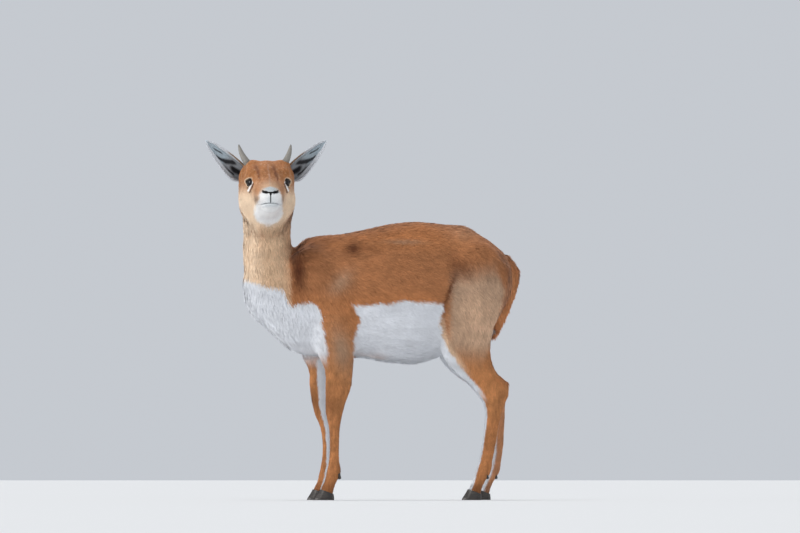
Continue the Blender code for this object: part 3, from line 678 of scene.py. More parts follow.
# Colours by place. Lines are pairs of a place along the trunk, as it shows from the side, and a height
VIEW_SLANT = math.tan(math.radians(12))
FLANK_LINE = ((-0.25, 0.535), (-0.21, 0.533), (-0.109, 0.538), (-0.024, 0.530), (0.029, 0.526), (0.060, 0.534))
BREAST_LINE = (
    (0.118, 0.480),
    (0.124, 0.505),
    (0.132, 0.527),
    (0.155, 0.536),
    (0.187, 0.534),
    (0.205, 0.527),
    (0.215, 0.536),
    (0.233, 0.572),
    (0.270, 0.579),
    (0.302, 0.590),
    (0.334, 0.595),
)
# Heights, and how far forward the fawn of the foreleg and of the thigh reaches there
COLUMN_FRONT = ((0.351, 0.104), (0.387, 0.106), (0.428, 0.111), (0.465, 0.118), (0.505, 0.122), (0.530, 0.135))
COLUMN_REAR = ((0.351, 0.039), (0.397, 0.040), (0.441, 0.037), (0.468, 0.030), (0.487, 0.019), (0.514, 0.030), (0.536, 0.044))
THIGH_FRONT = (
    (0.170, -0.329),
    (0.216, -0.334),
    (0.251, -0.342),
    (0.278, -0.334),
    (0.305, -0.315),
    (0.328, -0.294),
    (0.355, -0.268),
    (0.390, -0.241),
    (0.414, -0.224),
    (0.452, -0.206),
    (0.479, -0.199),
    (0.522, -0.210),
)
# Heights on the face, and half the width of the white muzzle there
MUZZLE_WIDTH = (
    (-0.1215, -0.006),
    (-0.1177, 0.007),
    (-0.1123, 0.0187),
    (-0.1055, 0.0284),
    (-0.097, 0.034),
    (-0.0852, 0.037),
    (-0.0717, 0.0367),
    (-0.0587, 0.0327),
    (-0.0402, 0.0288),
    (-0.030, 0.0250),
    (-0.0265, 0.0200),
    (-0.0210, 0.0150),
    (-0.0170, 0.0060),
    (-0.0150, -0.006),
)


def on_line(line, at):
    places, values = zip(*line)
    return np.interp(at, places, values)


def seen(points):
    """Each point's place along the trunk as it shows from the photograph's side; both flanks are alike."""
    return points[:, 0] - VIEW_SLANT * np.abs(points[:, 1])


def hump(*terms):
    """1 where every term is 0, falling to 0 where any passes about 1.5 to either side."""
    return np.exp(-sum(term**2 for term in terms))


def markings(points, normals, settings):
    """The coat's colour at each point."""
    x, y, z = points.T
    q = seen(points)
    out = normals[:, 1] * np.sign(y)
    wander = noise(points, 0.016, 3) * 0.0035 + noise(points, 0.006, 4) * 0.0015
    colour = trunk_colour(points, q, settings)

    # How much of it is coloured hair and not white
    brown = ramp(z - on_line(FLANK_LINE, q) + wander, -0.005, 0.005)
    breast = ramp(z - on_line(BREAST_LINE, q) + wander, -0.005, 0.005)
    brown = mixed_value(brown, breast, ramp(q, 0.075, 0.095))
    column = ramp(q - on_line(COLUMN_REAR, z) + wander, -0.004, 0.004)
    column = column * ramp(on_line(COLUMN_FRONT, z) - q + wander, -0.004, 0.004)
    column = column * (z < 0.56) * ramp(out, -0.25, 0.15)
    haunch = ramp(on_line(THIGH_FRONT, z) - q + wander, -0.004, 0.004)
    haunch = haunch * ramp(out - 0.6 * normals[:, 0], -0.30, 0.10) * (1 - ramp(z, 0.56, 0.60))
    brown = np.maximum(brown, np.maximum(column, haunch))
    inner = 1 - ramp(np.abs(y), 0.006, 0.014)
    brown = brown * (1 - inner * ramp(-0.350 - x, 0.0, 0.02) * (1 - ramp(z, 0.585, 0.625)))
    white = np.array(settings.white)
    colour = mixed(white, colour, brown)

    # The tail: brown above and at the sides, white below
    under = ramp(normals[:, 0] * 0.85 - normals[:, 2] * 0.3, 0.70, 0.95)
    tail = mixed(np.array(settings.fawn) * 1.30, white, under)
    colour = mixed(colour, tail, tail_share(points))

    limb = leg_colour(points, normals, q, settings)
    low = fore_share(points) * ramp(0.42 - z, 0.0, 0.07) + hind_share(points) * ramp(0.31 - z, 0.0, 0.05)
    colour = mixed(colour, limb, np.clip(low, 0, 1))
    faded = hump((z - 0.410) / 0.058, (q - 0.070 - 0.2 * (z - 0.41)) / 0.028) * ramp(out, 0.0, 0.5) * (q > 0)
    colour = mixed(colour, np.array(settings.thigh) * 0.90, 0.75 * faded)
    face = face_colour(in_head(points), normals @ HEAD_AXES, settings)
    return mixed(colour, face, head_share(points)) * (1 + 0.05 * noise(points, 0.02, 9)[:, None])


def trunk_colour(points, q, settings):
    """The brown of trunk, thigh, shoulder and neck, before the white below."""
    x, y, z = points.T
    fawn, dark, back = (np.array(c) for c in (settings.fawn, settings.dark_fawn_and_shade, settings.back))
    thigh, leg, neck, cream = (np.array(c) for c in (settings.thigh, settings.leg, settings.neck, settings.cream))
    patchy = noise(points, 0.030, 6)
    colour = mixed(fawn, back, np.clip(ramp(z, 0.655, 0.715) * 0.9 + 0.12 * patchy, 0, 1))
    colour = mixed(colour, back, 0.6 * (1 - ramp(z - on_line(FLANK_LINE, q), 0.0, 0.05)) * ramp(q, -0.22, -0.16))
    # Paler: the ribs' upper edge, the shoulder and the croup
    colour = mixed(colour, thigh, 0.45 * hump((q + 0.100) / 0.050, (z - 0.696 + 0.25 * (q + 0.10) ** 2) / 0.006))
    colour = mixed(colour, thigh, 0.55 * hump((q - 0.072) / 0.030, (z - 0.590 + 0.5 * (q - 0.072)) / 0.026))
    colour = mixed(colour, thigh, 0.30 * hump((q + 0.268) / 0.045, (z - 0.722) / 0.024))
    # The greyer thigh between its dark front edge and the orange rear, lighter towards its lower rear as painted light
    rear = np.interp(z, (0.36, 0.42, 0.50, 0.57, 0.63), (-0.325, -0.345, -0.368, -0.384, -0.360))
    grey = ramp(-0.215 - q, 0.0, 0.030) * ramp(q - rear, -0.006, 0.014)
    grey = grey * (1 - ramp(z + 0.16 * (q + 0.30), 0.575, 0.655)) * ramp(z, 0.325, 0.440)
    lit = 1 + 0.42 * ramp(-0.24 - q, 0.0, 0.08) * ramp(0.62 - z, 0.0, 0.14)
    colour = mixed(colour, thigh * lit[:, None], 0.90 * grey)
    # Darker, partly the coat's own darker brown and partly painted shade in the hollows: behind the neck, behind the
    # withers, over the hip and down the fold before the thigh
    colour = mixed(colour, dark, 0.95 * hump((q - 0.186) / 0.018, (z - 0.620) / 0.062))
    colour = mixed(colour, dark, 0.35 * hump((q - 0.160) / 0.030, (z - 0.660) / 0.030))
    colour = mixed(colour, dark, 0.85 * hump((q - 0.040) / 0.020, (z - 0.677) / 0.017))
    colour = mixed(colour, dark, 0.35 * hump((q + 0.005) / 0.035, (z - 0.676 - 0.1 * q) / 0.007))
    colour = mixed(colour, dark, 0.60 * hump((q + 0.262) / 0.032, (z - 0.628 - 0.4 * (q + 0.262)) / 0.026))
    fold = np.interp(z, (0.49, 0.529, 0.564, 0.603, 0.632), (-0.2085, -0.2124, -0.2238, -0.2400, -0.2400))
    colour = mixed(colour, dark, 0.92 * hump((q - fold) / (0.0055 + 0.008 * ramp(z, 0.56, 0.63)), (z - 0.566) / 0.060))
    # The foreleg's column, and the pale front of the thigh
    below = ramp(0.565 - z, 0.0, 0.16) * ramp(q, -0.02, 0.02)
    colour = mixed(colour, leg, 0.50 * below)
    colour = mixed(colour, leg * 1.15, ramp(-0.20 - q, 0.0, 0.03) * (1 - ramp(z, 0.330, 0.430)))
    edge = ramp(on_line(THIGH_FRONT, z) - q, 0.002, 0.024)
    front = (1 - edge) * ramp(z, 0.33, 0.38) * (1 - ramp(z, 0.47, 0.51)) * ramp(-0.10 - q, 0.0, 0.04)
    colour = mixed(colour, cream, 0.60 * front)

    # The neck: pale, palest in front, browner towards the nape
    necked = np.maximum(ramp(q, 0.202, 0.214), ramp(z, 0.695, 0.715) * ramp(q, 0.150, 0.185))
    pale = mixed(neck, cream, 0.85 * ramp(q, 0.262, 0.325))
    pale = mixed(pale, fawn, 0.45 * (1 - ramp(q, 0.205, 0.240)))
    # A darker fawn patch on the upper throat, partly its own tan and partly painted shadow under the chin
    pale = mixed(pale, fawn, 0.30 * hump((q - 0.287) / 0.012, (z - 0.716) / 0.028))
    return mixed(colour, pale, necked)


def leg_colour(points, normals, q, settings):
    """Legs: tan in front and outside, white inside, with a white rim down the front of the hind ones."""
    x, y, z = points.T
    leg, dark, back, white = (np.array(c) for c in (settings.leg, settings.dark_fawn_and_shade, settings.back, settings.white))
    out = normals[:, 1] * np.sign(y)
    hind = hind_share(points)
    ahead, behind = np.maximum(normals[:, 0], 0), np.maximum(-normals[:, 0], 0)
    fore_tan = ramp(out + 2.2 * ahead - 0.6 * behind, -0.42, -0.05)
    hind_tan = ramp(np.maximum(out, 0.0) - 0.9 * ahead, -0.30, 0.05)
    limb = mixed(leg, back, 0.45 * ramp(0.26 - z, 0.0, 0.06))
    limb = limb * (1 + 0.25 * hind * ramp(z, 0.26, 0.33))[:, None]
    streak = noise(points * (1, 1, 0.16), 0.0045, 18)
    limb = limb * (1 + 0.16 * noise(points, 0.012, 8) + 0.16 * streak)[:, None]
    knee = hump((z - 0.262) / 0.040, (normals[:, 0] - 0.7) / 0.55) * (1 - hind)
    limb = mixed(limb, dark, 0.45 * knee)
    # Painted shadow: a dark spot at the back of the hock, where the other hind leg shades it
    hock_shadow = hump((x + 0.358) / 0.016, (z - 0.298) / 0.016) * hind
    limb = mixed(limb, dark, 0.78 * hock_shadow)
    # Painted highlight: a pale stripe down the rear edge of the hind cannons
    limb = mixed(limb, np.array(settings.cream), 0.60 * hind * ramp(behind, 0.86, 0.97) * ramp(0.27 - z, 0.0, 0.03))
    limb = mixed(limb, dark, 0.40 * ramp(0.062 - z, 0.0, 0.03))
    return mixed(white * 0.95, limb, mixed_value(fore_tan, hind_tan, hind))


def mark(local, start, end, width):
    """A soft line between two points of the face as it shows from in front."""
    start, end = np.array(start), np.array(end)
    along = end - start
    flat = local[:, 1:]
    t = np.clip((flat - start) @ along / (along @ along), 0, 1)
    away = np.linalg.norm(flat - start - t[:, None] * along, axis=1)
    return (1 - ramp(away, 0.35 * width, width)) * ramp(local[:, 0], -0.03, -0.01)


def face_colour(local, normals, settings):
    """The head's colours, in its own frame."""
    u, v, w = local.T
    side = np.abs(v)
    fawn, dark, neck = (np.array(c) for c in (settings.forehead, settings.dark_fawn_and_shade, settings.neck))
    cream, white, black = (np.array(c) for c in (settings.cream, settings.white, settings.black))
    # The face's white is a lighter copy of the body's white: painted light on the chin and muzzle, which face down away
    # from the lamps
    white = np.minimum(white * 1.30, 0.93)
    red = np.array(settings.back)
    fuzz = noise(local, 0.004, 5) * 0.0012
    patchy = noise(local, 0.011, 15)
    colour = mixed(cream, neck, 0.70 * ramp(-u, 0.02, 0.08))
    colour = mixed(colour, fawn, ramp(w + 0.15 * side + fuzz * 2, -0.042, 0.012))
    colour = mixed(colour, fawn, 0.85 * hump((side - 0.033) / 0.013, (w + 0.026) / 0.022) * ramp(u, 0.0, 0.03))
    colour = mixed(colour, red, (0.40 + 0.30 * patchy) * ramp(w, 0.012, 0.046) * (1 - ramp(side, 0.045, 0.06)))
    mottle = noise(local * (1, 1, 0.6), 0.0045, 16) + 0.6 * noise(local, 0.0022, 17)
    colour = mixed(colour, cream, 0.20 * ramp(mottle, 0.1, 0.9) * ramp(w, -0.03, 0.0))
    colour = mixed(colour, dark, 0.26 * ramp(-mottle, 0.1, 0.9) * ramp(w, -0.02, 0.02))
    colour = mixed(colour, cream, 0.12 * hump(v / 0.020, (w + 0.006) / 0.010) * ramp(u, 0.02, 0.05))
    bent = local + np.stack([0 * u, 0.0022 * patchy, 0 * u], 1)
    furrow = np.array((0.130, 0.036, 0.018))
    for across, rise, wide, high, strength in (
        (-0.0315, 0.0370, 0.0060, 0.0080, 0.66),
        (-0.0275, 0.0240, 0.0045, 0.0110, 0.78),
        (-0.0262, 0.0090, 0.0032, 0.0080, 0.60),
        (0.0135, 0.0350, 0.0060, 0.0085, 0.60),
        (0.0180, 0.0210, 0.0040, 0.0110, 0.74),
        (0.0222, 0.0060, 0.0030, 0.0110, 0.72),
    ):
        colour = mixed(colour, furrow, strength * hump((bent[:, 1] - across) / wide, (w - rise) / high) * ramp(u, -0.03, -0.01))
    colour = mixed(colour, red * 0.8, 0.45 * hump((side - 0.030) / 0.014, (w - 0.046) / 0.012))
    colour = mixed(colour, dark, 0.35 * ramp(-u, 0.055, 0.09) * ramp(w, 0.0, 0.03))
    # The white muzzle and the grey smudges at the corners of the mouth
    half = on_line(MUZZLE_WIDTH, w)
    soft = 0.004 + 0.005 * ramp(w, -0.036, -0.024)
    muzzle = ramp(half - side + fuzz * 2, -1.2 * soft, soft) * ramp(u, -0.02, 0.01)
    colour = mixed(colour, white * mixed(np.ones(3), np.array((0.55, 0.60, 0.62)), ramp(w, -0.040, -0.022)), muzzle)
    colour = mixed(colour, white * (0.50, 0.58, 0.62), 0.45 * hump(v / 0.012, (w + 0.050) / 0.013) * ramp(u, 0.05, 0.07))
    smudge = hump((side - 0.0370) / 0.0055, (w + 0.049) / 0.011) * ramp(u, 0.03, 0.06)
    colour = mixed(colour, dark * 0.7 + black * 0.3, 0.65 * smudge)
    colour = mixed(colour, dark * 1.3, 0.22 * hump((side - 0.032) / 0.010, (w + 0.056) / 0.012) * ramp(u, 0.03, 0.06))
    # Rings round the eyes, and the streaks that run down from their inner corners
    model = local @ HEAD_AXES.T + HEAD_AT
    for s, centre, facing, along, up in eye_frames():
        away = model - centre
        near = ((away @ facing) > 0.0) & (np.linalg.norm(away, axis=1) < 0.045)
        reach = lid_reach(away @ along, away @ up, settings)
        colour = mixed(colour, cream, 0.75 * near * (1 - ramp(reach, 1.14, 1.45)))
        colour = mixed(colour, dark * 0.8, 0.85 * mark(local, (s * 0.0410, -0.0080), (s * 0.0500, -0.0310), 0.0026))
        colour = mixed(colour, white, 0.95 * mark(local, (s * 0.0435, -0.0035), (s * 0.0535, -0.0260), 0.0030))
        colour = mixed(colour, black, 0.60 * mark(local, (s * 0.0500, -0.0060), (s * 0.0550, -0.0185), 0.0026))
        colour = mixed(colour, black, near * (1 - ramp(reach, 1.00, 1.10)))
    colour = mixed(colour, black, nose_share(local))
    colour = mixed(colour, white * (0.55, 0.62, 0.68), 0.40 * hump((w + 0.064) / 0.006) * (1 - ramp(side, 0.018, 0.030)))
    lips = (1 - ramp(np.abs(mouth_line(local) + fuzz * 0.3), 0.0006, 0.0018)) * ramp(u, 0.062, 0.075)
    return mixed(colour, white * (0.10, 0.12, 0.14), 0.75 * lips * (1 - ramp(side, 0.015, 0.028)))


def nose_share(local):
    """The naked black of the nostrils, the bar between them, and the cleft down to the mouth."""
    u, v, w = local.T
    side = np.abs(v)
    height = 0.0024 + 0.0016 * ramp(side, 0.005, 0.012)
    middle = -0.0318 + 0.0010 * ramp(side, 0.005, 0.012) + 0.0022 * ramp(side, 0.015, 0.022)
    bar = (1 - ramp(side, 0.0205, 0.0235)) * (1 - ramp(np.abs(w - middle), height - 0.0008, height + 0.0008))
    half = 0.0014 + 0.0018 * ramp(w, -0.0410, -0.0345)
    cleft = (1 - ramp(side, half - 0.0005, half + 0.0007)) * ramp(-w, 0.031, 0.034) * ramp(w, -0.0615, -0.0590)
    return np.clip(np.maximum(bar, cleft) * ramp(u, 0.080, 0.088), 0, 1)


# The coat
def flow(points, normals):
    """The way the hair lies at each point."""
    x, y, z = points.T
    count = len(points)

    def way(*v):
        return np.broadcast_to(np.array(v, float), (count, 3))

    lie = way(-1, 0, -0.10)
    side = 1 - np.abs(normals[:, 2])
    lie = mixed(lie, way(-0.80, 0, -0.58), side * ramp(0.73 - z, 0.0, 0.06))
    lie = mixed(lie, way(-1, 0, -0.12), ramp(-normals[:, 2], 0.3, 0.8))
    shoulder = ramp(x, 0.02, 0.10) * ramp(0.66 - z, 0.0, 0.12)
    lie = mixed(lie, way(-0.42, 0, -0.90), shoulder)
    breast = ramp(x, 0.15, 0.24)
    lie = mixed(lie, way(-0.30, 0, -0.95), breast)
    haunch = ramp(-0.20 - x, 0.0, 0.08) * ramp(0.72 - z, 0.0, 0.10)
    lie = mixed(lie, way(-0.42, 0, -0.90), haunch)
    lie = mixed(lie, way(-0.05, 0, -1), ramp(-0.34 - x, 0.0, 0.05))
    lie = mixed(lie, way(-0.12, 0, -1), np.maximum(fore_share(points), hind_share(points)))
    lie = mixed(lie, way(-0.12, 0, -1), neck_share(points))
    local = in_head(points)
    u, v, w = local.T
    normal = normals @ HEAD_AXES
    over = np.stack([np.full(count, -1.0), np.sign(v) * 0.10, np.full(count, 0.42)], 1)
    cheek = np.stack([np.full(count, -1.0), np.sign(v) * 0.05, -0.45 - 0.6 * ramp(-w, 0.04, 0.10)], 1)
    face = mixed(over, cheek, ramp(-w - 0.2 * normal[:, 2], -0.005, 0.035))
    face = mixed(face, np.broadcast_to(np.array((-0.5, 0, -0.9)), (count, 3)), ramp(-u, 0.075, 0.10))
    lie = mixed(lie, face @ HEAD_AXES.T, head_share(points))
    lie = lie - normals * dots(lie, normals)
    return unit(lie)


def hair_length(points):
    """The hair's length at each point, in metres."""
    x, y, z = points.T
    u, v, w = in_head(points).T
    length = 0.021 + 0.008 * ramp(0.46 - z, 0.0, 0.08) + 0.009 * ramp(x, 0.16, 0.26) * ramp(0.64 - z, 0.0, 0.08)
    length = mixed_value(length, 0.022, neck_share(points))
    limb = np.maximum(fore_share(points), hind_share(points))
    length = mixed_value(length, 0.008 + 0.006 * ramp(z, 0.20, 0.36), limb)
    length = mixed_value(length, 0.020, tail_share(points))
    face = 0.0055 + 0.0125 * ramp(-u, 0.01, 0.07) * ramp(-w, -0.02, 0.04) + 0.0020 * ramp(-w, 0.03, 0.08)
    face = face - 0.0020 * ramp(u, 0.05, 0.09)
    return mixed_value(length, face, jaw_share(points))


def lift(points):
    """How steeply the hair rises from the skin, as a slope."""
    z = points[:, 2]
    slope = np.full(len(points), 0.15)
    slope = mixed_value(slope, 0.17, neck_share(points))
    slope = slope + 0.03 * ramp(points[:, 0], 0.18, 0.26) * ramp(0.60 - z, 0.0, 0.06)
    slope = mixed_value(slope, 0.13, np.maximum(fore_share(points), hind_share(points)))
    return mixed_value(slope, 0.16, jaw_share(points))


def scattered(points, faces, weights, count, random):
    """Roots spread evenly over the skin: their places, normals and the face of each."""
    a, b, c = (points[faces[:, k]] for k in range(3))
    area = np.linalg.norm(np.cross(b - a, c - a), axis=1) * 0.5 * weights
    ends = np.cumsum(area)
    marks = (np.arange(count) + random.random(count)) / count * ends[-1]
    chosen = np.searchsorted(ends, marks).clip(0, len(faces) - 1)
    r1, r2 = np.sqrt(random.random(count)), random.random(count)
    shares = np.stack([1 - r1, r1 * (1 - r2), r1 * r2], 1)
    return chosen, shares


def tufts(roots, normals, lie, length, slope, width, random, bend=0.25):
    """Flat tapering tufts of three triangles: their points, triangles and shading normals."""
    count = len(roots)
    across = unit(np.cross(lie, normals))
    yaw = random.normal(0, 0.13, count)
    lie = unit(lie * np.cos(yaw)[:, None] + across * np.sin(yaw)[:, None])
    across = unit(np.cross(lie, normals))
    roll = random.normal(0, 0.20, count)
    blade = across * np.cos(roll)[:, None] + normals * np.sin(roll)[:, None]
    length = length[:, None]
    rise = (slope * (1 + random.normal(0, 0.22, count)).clip(0.3, 1.8))[:, None]
    sway = (random.normal(0, 0.05, count) + 0.13 * noise(roots, 0.009, 41))[:, None] * length
    base = roots - normals * 0.0012
    middle = roots + lie * length * 0.50 + normals * length * rise * (0.50 + bend) + across * sway * 0.4
    tip = roots + lie * length * 0.98 + normals * length * rise + across * sway
    half = (width / 2)[:, None]
    verts = np.stack(
        [base - blade * half * 0.75, base + blade * half * 0.75, middle + blade * half, middle - blade * half, tip], 1
    )
    start = (np.arange(count) * 5)[:, None]
    faces = np.stack([start + (0, 1, 2), start + (0, 2, 3), start + (3, 2, 4)], 1).reshape(-1, 3)
    own = unit(np.cross(blade, tip - base))
    own = np.where(dots(own, normals) < 0, -own, own)
    shading = unit(normals * 0.80 + own * 0.20)
    return verts.reshape(-1, 3), faces, np.repeat(shading, 5, axis=0)


TUFT_POINTS = 5
TUFT_FACES = 3


def around(points, centre, across, up):
    """The angle round an axis, from 0 to 1."""
    away = points - centre
    return np.arctan2(away @ across, away @ up) / (2 * math.pi) + 0.5


def unwrap_place(kind, points):
    """Each root's place on an unwrap of the skin's own shape: round the part's axis, and along it."""
    x, y, z = points.T
    if kind == "head":
        local = in_head(points)
        turn = np.arctan2(local[:, 1], local[:, 2] + 0.035) / (2 * math.pi) + 0.5
        return np.stack([turn, (local[:, 0] + 0.13) / 0.26], 1)
    if kind == "tail":
        turn = np.arctan2(y, -(x - np.interp(z, TAIL_HEIGHTS, TAIL_PLACES))) / (2 * math.pi) + 0.5
        return np.stack([turn, (z - 0.42) / 0.26], 1)
    if kind == "neck":
        turn = np.arctan2(y - 0.004, x - 0.268) / (2 * math.pi) + 0.5
        return np.stack([turn, (z - 0.42) / 0.42], 1)
    if kind.startswith(("chest", "rump")):
        turn = np.arctan2(np.abs(y), z - 0.555) / math.pi
        return np.stack([turn, (x + 0.44) / 0.80], 1)
    if kind.startswith("fore"):
        s = 1 if kind.endswith("left") else -1
        turn = np.arctan2(y - s * 0.068, x - np.interp(z, (0.03, 0.10, 0.35, 0.45), (0.115, 0.10, 0.095, 0.10)))
        return np.stack([turn / (2 * math.pi) + 0.5, z / 0.46], 1)
    if kind.startswith("hind"):
        s = 1 if kind.endswith("left") else -1
        line = np.interp(z, (0.03, 0.10, 0.20, 0.30, 0.35, 0.47), (-0.30, -0.325, -0.343, -0.345, -0.30, -0.28))
        turn = np.arctan2(y - s * 0.070, x - line)
        return np.stack([turn / (2 * math.pi) + 0.5, z / 0.50], 1)
    raise ValueError("no unwrap for " + kind)


def patch_map(obj, places, rows=TUFT_POINTS, faces_each=TUFT_FACES, size=0.003):
    """The map that a bake reads: each tuft is a small patch at its root's place."""
    offsets = np.array(((-0.5, 0.0), (0.5, 0.0), (0.5, 0.5), (-0.5, 0.5), (0.0, 1.0))) * size
    corners = (places.clip(0.004, 0.996)[:, None, :] + offsets[None, :, :]).reshape(-1, 2)
    layer = obj.data.uv_layers.new(name="OFBake")
    index = np.empty(len(obj.data.loops), np.int32)
    obj.data.loops.foreach_get("vertex_index", index)
    layer.data.foreach_set("uv", corners[index].astype(np.float32).ravel())
    strand = np.tile(np.array(((0.0, 0.0), (1.0, 0.0), (1.0, 0.5), (0.0, 0.5), (0.5, 1.0))), (len(places), 1))
    layer = obj.data.uv_layers.new(name="strand")
    layer.data.foreach_set("uv", strand[index].astype(np.float32).ravel())
    obj.data.uv_layers.active = obj.data.uv_layers["OFBake"]


def region_of(points):
    """The name of the coat piece that each point belongs to."""
    names = np.where(points[:, 1] > 0, "chest_left", "chest_right").astype("<U20")
    for side, s in SIDES:
        names[(points[:, 0] < -0.080) & (points[:, 1] * s > 0)] = "rump_" + side
    for end, share in (("fore", fore_share(points)), ("hind", hind_share(points))):
        for side, s in SIDES:
            names[(share > 0.5) & (points[:, 1] * s > 0)] = "%s_%s" % (end, side)
    names[neck_share(points) > 0.5] = "neck"
    names[tail_share(points) > 0.5] = "tail"
    names[head_share(points) > 0.5] = "head"
    return names


SKIN = {}


def streaks(points):
    """How much lighter or darker locks of hair are at each point."""
    return 0.12 * noise(points, 0.009, 21) + 0.09 * noise(points, 0.0035, 22)


def coat_piece(kind, names, settings, random):
    """One coat piece: tufts over the skin's faces of that region."""
    points, faces, normals = SKIN["points"], SKIN["faces"], SKIN["normals"]
    mine = names == kind
    faces = faces[mine]
    middle = points[faces].mean(axis=1)
    weights = tuft_density(middle)
    a, b, c = (points[faces[:, k]] for k in range(3))
    area = np.linalg.norm(np.cross(b - a, c - a), axis=1) * 0.5
    count = int((area * weights).sum() * settings.density * (1.0))
    chosen, shares = scattered(points, faces, weights, count, random)
    corners = faces[chosen]
    roots = (points[corners] * shares[..., None]).sum(axis=1)
    around_root = unit((normals[corners] * shares[..., None]).sum(axis=1))
    lie = flow(roots, around_root)
    across = np.cross(around_root, lie)
    swirl = (0.20 * noise(roots, 0.05, 11) + 0.16 * noise(roots, 0.016, 12)) * (1 - 0.5 * head_share(roots))
    lie = unit(lie * np.cos(swirl)[:, None] + across * np.sin(swirl)[:, None])
    length = hair_length(roots) * random.uniform(0.75, 1.2, count)
    width = tuft_width(roots) * random.uniform(0.7, 1.25, count) * 1.0
    verts, tris, shading = tufts(roots, around_root, lie, length, lift(roots), width, random)
    colour = markings(roots + lie * (0.45 * length)[:, None], around_root, settings)
    level = ramp(seen(roots), -0.23, -0.17) if kind.startswith(("chest", "rump")) else np.zeros(count)
    locks = mixed_value(streaks(roots * (1, 1, 0.35)), streaks(roots * (0.35, 1, 1)), level)
    own = (locks + random.normal(0, 0.10, count)) * (1 - 0.75 * ramp(colour[:, 2], 0.25, 0.6))
    colour = colour * (1 + own)[:, None]
    return hair_piece(kind, verts, tris, shading, colour, unwrap_place(kind, roots))


def hair_piece(kind, verts, tris, shading, colour, places):
    """A piece of coat from its tufts, the colour of each and its place on the unwrap."""
    # Painted shade and light: each tuft darker at its root, where the tufts over it shade it, and a little lighter at
    # its tip
    root = 0.70 + 0.16 * colour[:, :1]
    shade = np.stack([root, root, 0.96 + 0 * root, 0.96 + 0 * root, 1.07 + 0 * root], 1)
    full = (colour[:, None] * shade).reshape(-1, 3)
    obj = piece("coat_" + kind, verts, tris, coat_material())
    paint(obj, "coat", full.clip(0.002, 0.95))
    patch_map(obj, places)
    obj.data.normals_split_custom_set_from_vertices(shading.astype(np.float32))
    return obj


def ear_coat(side, s, settings, random):
    """Short hair behind the ear, longer white hair on its rim and in ridges inside."""
    points, faces, place = ear_mesh(s)
    faces = np.concatenate([faces[:, [0, 1, 2]], faces[:, [0, 2, 3]]])
    middle = place[faces].mean(axis=1)
    inner = middle[:, 2] < 0
    shade = ear_colours(middle, settings)[:, 0]
    weights = np.where(inner, np.where(shade < 0.12, 0.25, 1.0), 1.0) * ramp(middle[:, 0], 0.02, 0.12)
    count = int(15000)
    chosen, shares = scattered(points, faces, weights, count, random)
    normals = normals_of(points, faces)
    corners = faces[chosen]
    roots = (points[corners] * shares[..., None]).sum(axis=1)
    around_root = unit((normals[corners] * shares[..., None]).sum(axis=1))
    places = (place[corners] * shares[..., None]).sum(axis=1)
    _, axis, facing, sideways, _ = ear_axes(s)
    axis, sideways = axis @ HEAD_AXES.T, sideways @ HEAD_AXES.T * s
    outward = np.sign(places[:, 1]) * ramp(np.abs(places[:, 1]), 0.75, 1.0)
    lie = axis + sideways * (0.55 * outward)[:, None] * np.where(places[:, 2] > 0, 0.6, -0.9)[:, None]
    lie = unit(lie - around_root * dots(lie, around_root))
    inside = places[:, 2] < 0
    rim = ramp(np.abs(places[:, 1]), 0.86, 0.98)
    length = np.where(inside, 0.0105 - 0.0050 * rim, 0.0060 - 0.0020 * rim) - 0.0025 * ramp(places[:, 0], 0.8, 1.0)
    length = length * random.uniform(0.7, 1.2, count)
    slope = np.where(inside, 0.22 - 0.13 * rim, 0.10 - 0.03 * rim)
    width = random.uniform(0.0007, 0.0012, count) * 1.0
    verts, tris, shading = tufts(roots, around_root, lie, length, slope, width, random)
    colour = ear_colours(places, settings) * (1 + random.normal(0, 0.07, count))[:, None]
    unwrap = np.stack([places[:, 1] * 0.23 + np.where(inside, 0.75, 0.25), places[:, 0]], 1)
    return hair_piece("ear_" + side, verts, tris, shading, colour, unwrap)


def tuft_density(points):
    """Relative number of tufts to an area."""
    local = in_head(points)
    bare = nose_share(local) * head_share(points)
    for _, centre, facing, along, up in eye_frames():
        away = points - centre
        near = (away @ facing > 0) & (np.linalg.norm(away, axis=1) < 0.03)
        settings = bpy.context.scene.blackbuck
        bare = np.maximum(bare, near * (lid_reach(away @ along, away @ up, settings) < 1.22))
    dense = 1 + 1.2 * head_share(points) + 0.6 * np.maximum(fore_share(points), hind_share(points))
    mouth = (np.abs(mouth_line(local)) < 0.0016) & (local[:, 0] > 0.062) & (head_share(points) > 0.5)
    return dense * (1 - bare) * np.where(mouth, 0.05, 1.0)


def tuft_width(points):
    width = np.full(len(points), 0.0024)
    width = mixed_value(width, 0.0013, np.maximum(fore_share(points), hind_share(points)))
    face = 0.0012 - 0.0004 * ramp(in_head(points)[:, 0], 0.04, 0.09)
    return mixed_value(width, face, head_share(points))


# Materials
def new_material(name):
    material = bpy.data.materials.new(name)
    material.use_nodes = True
    return material, material.node_tree.nodes, material.node_tree.links


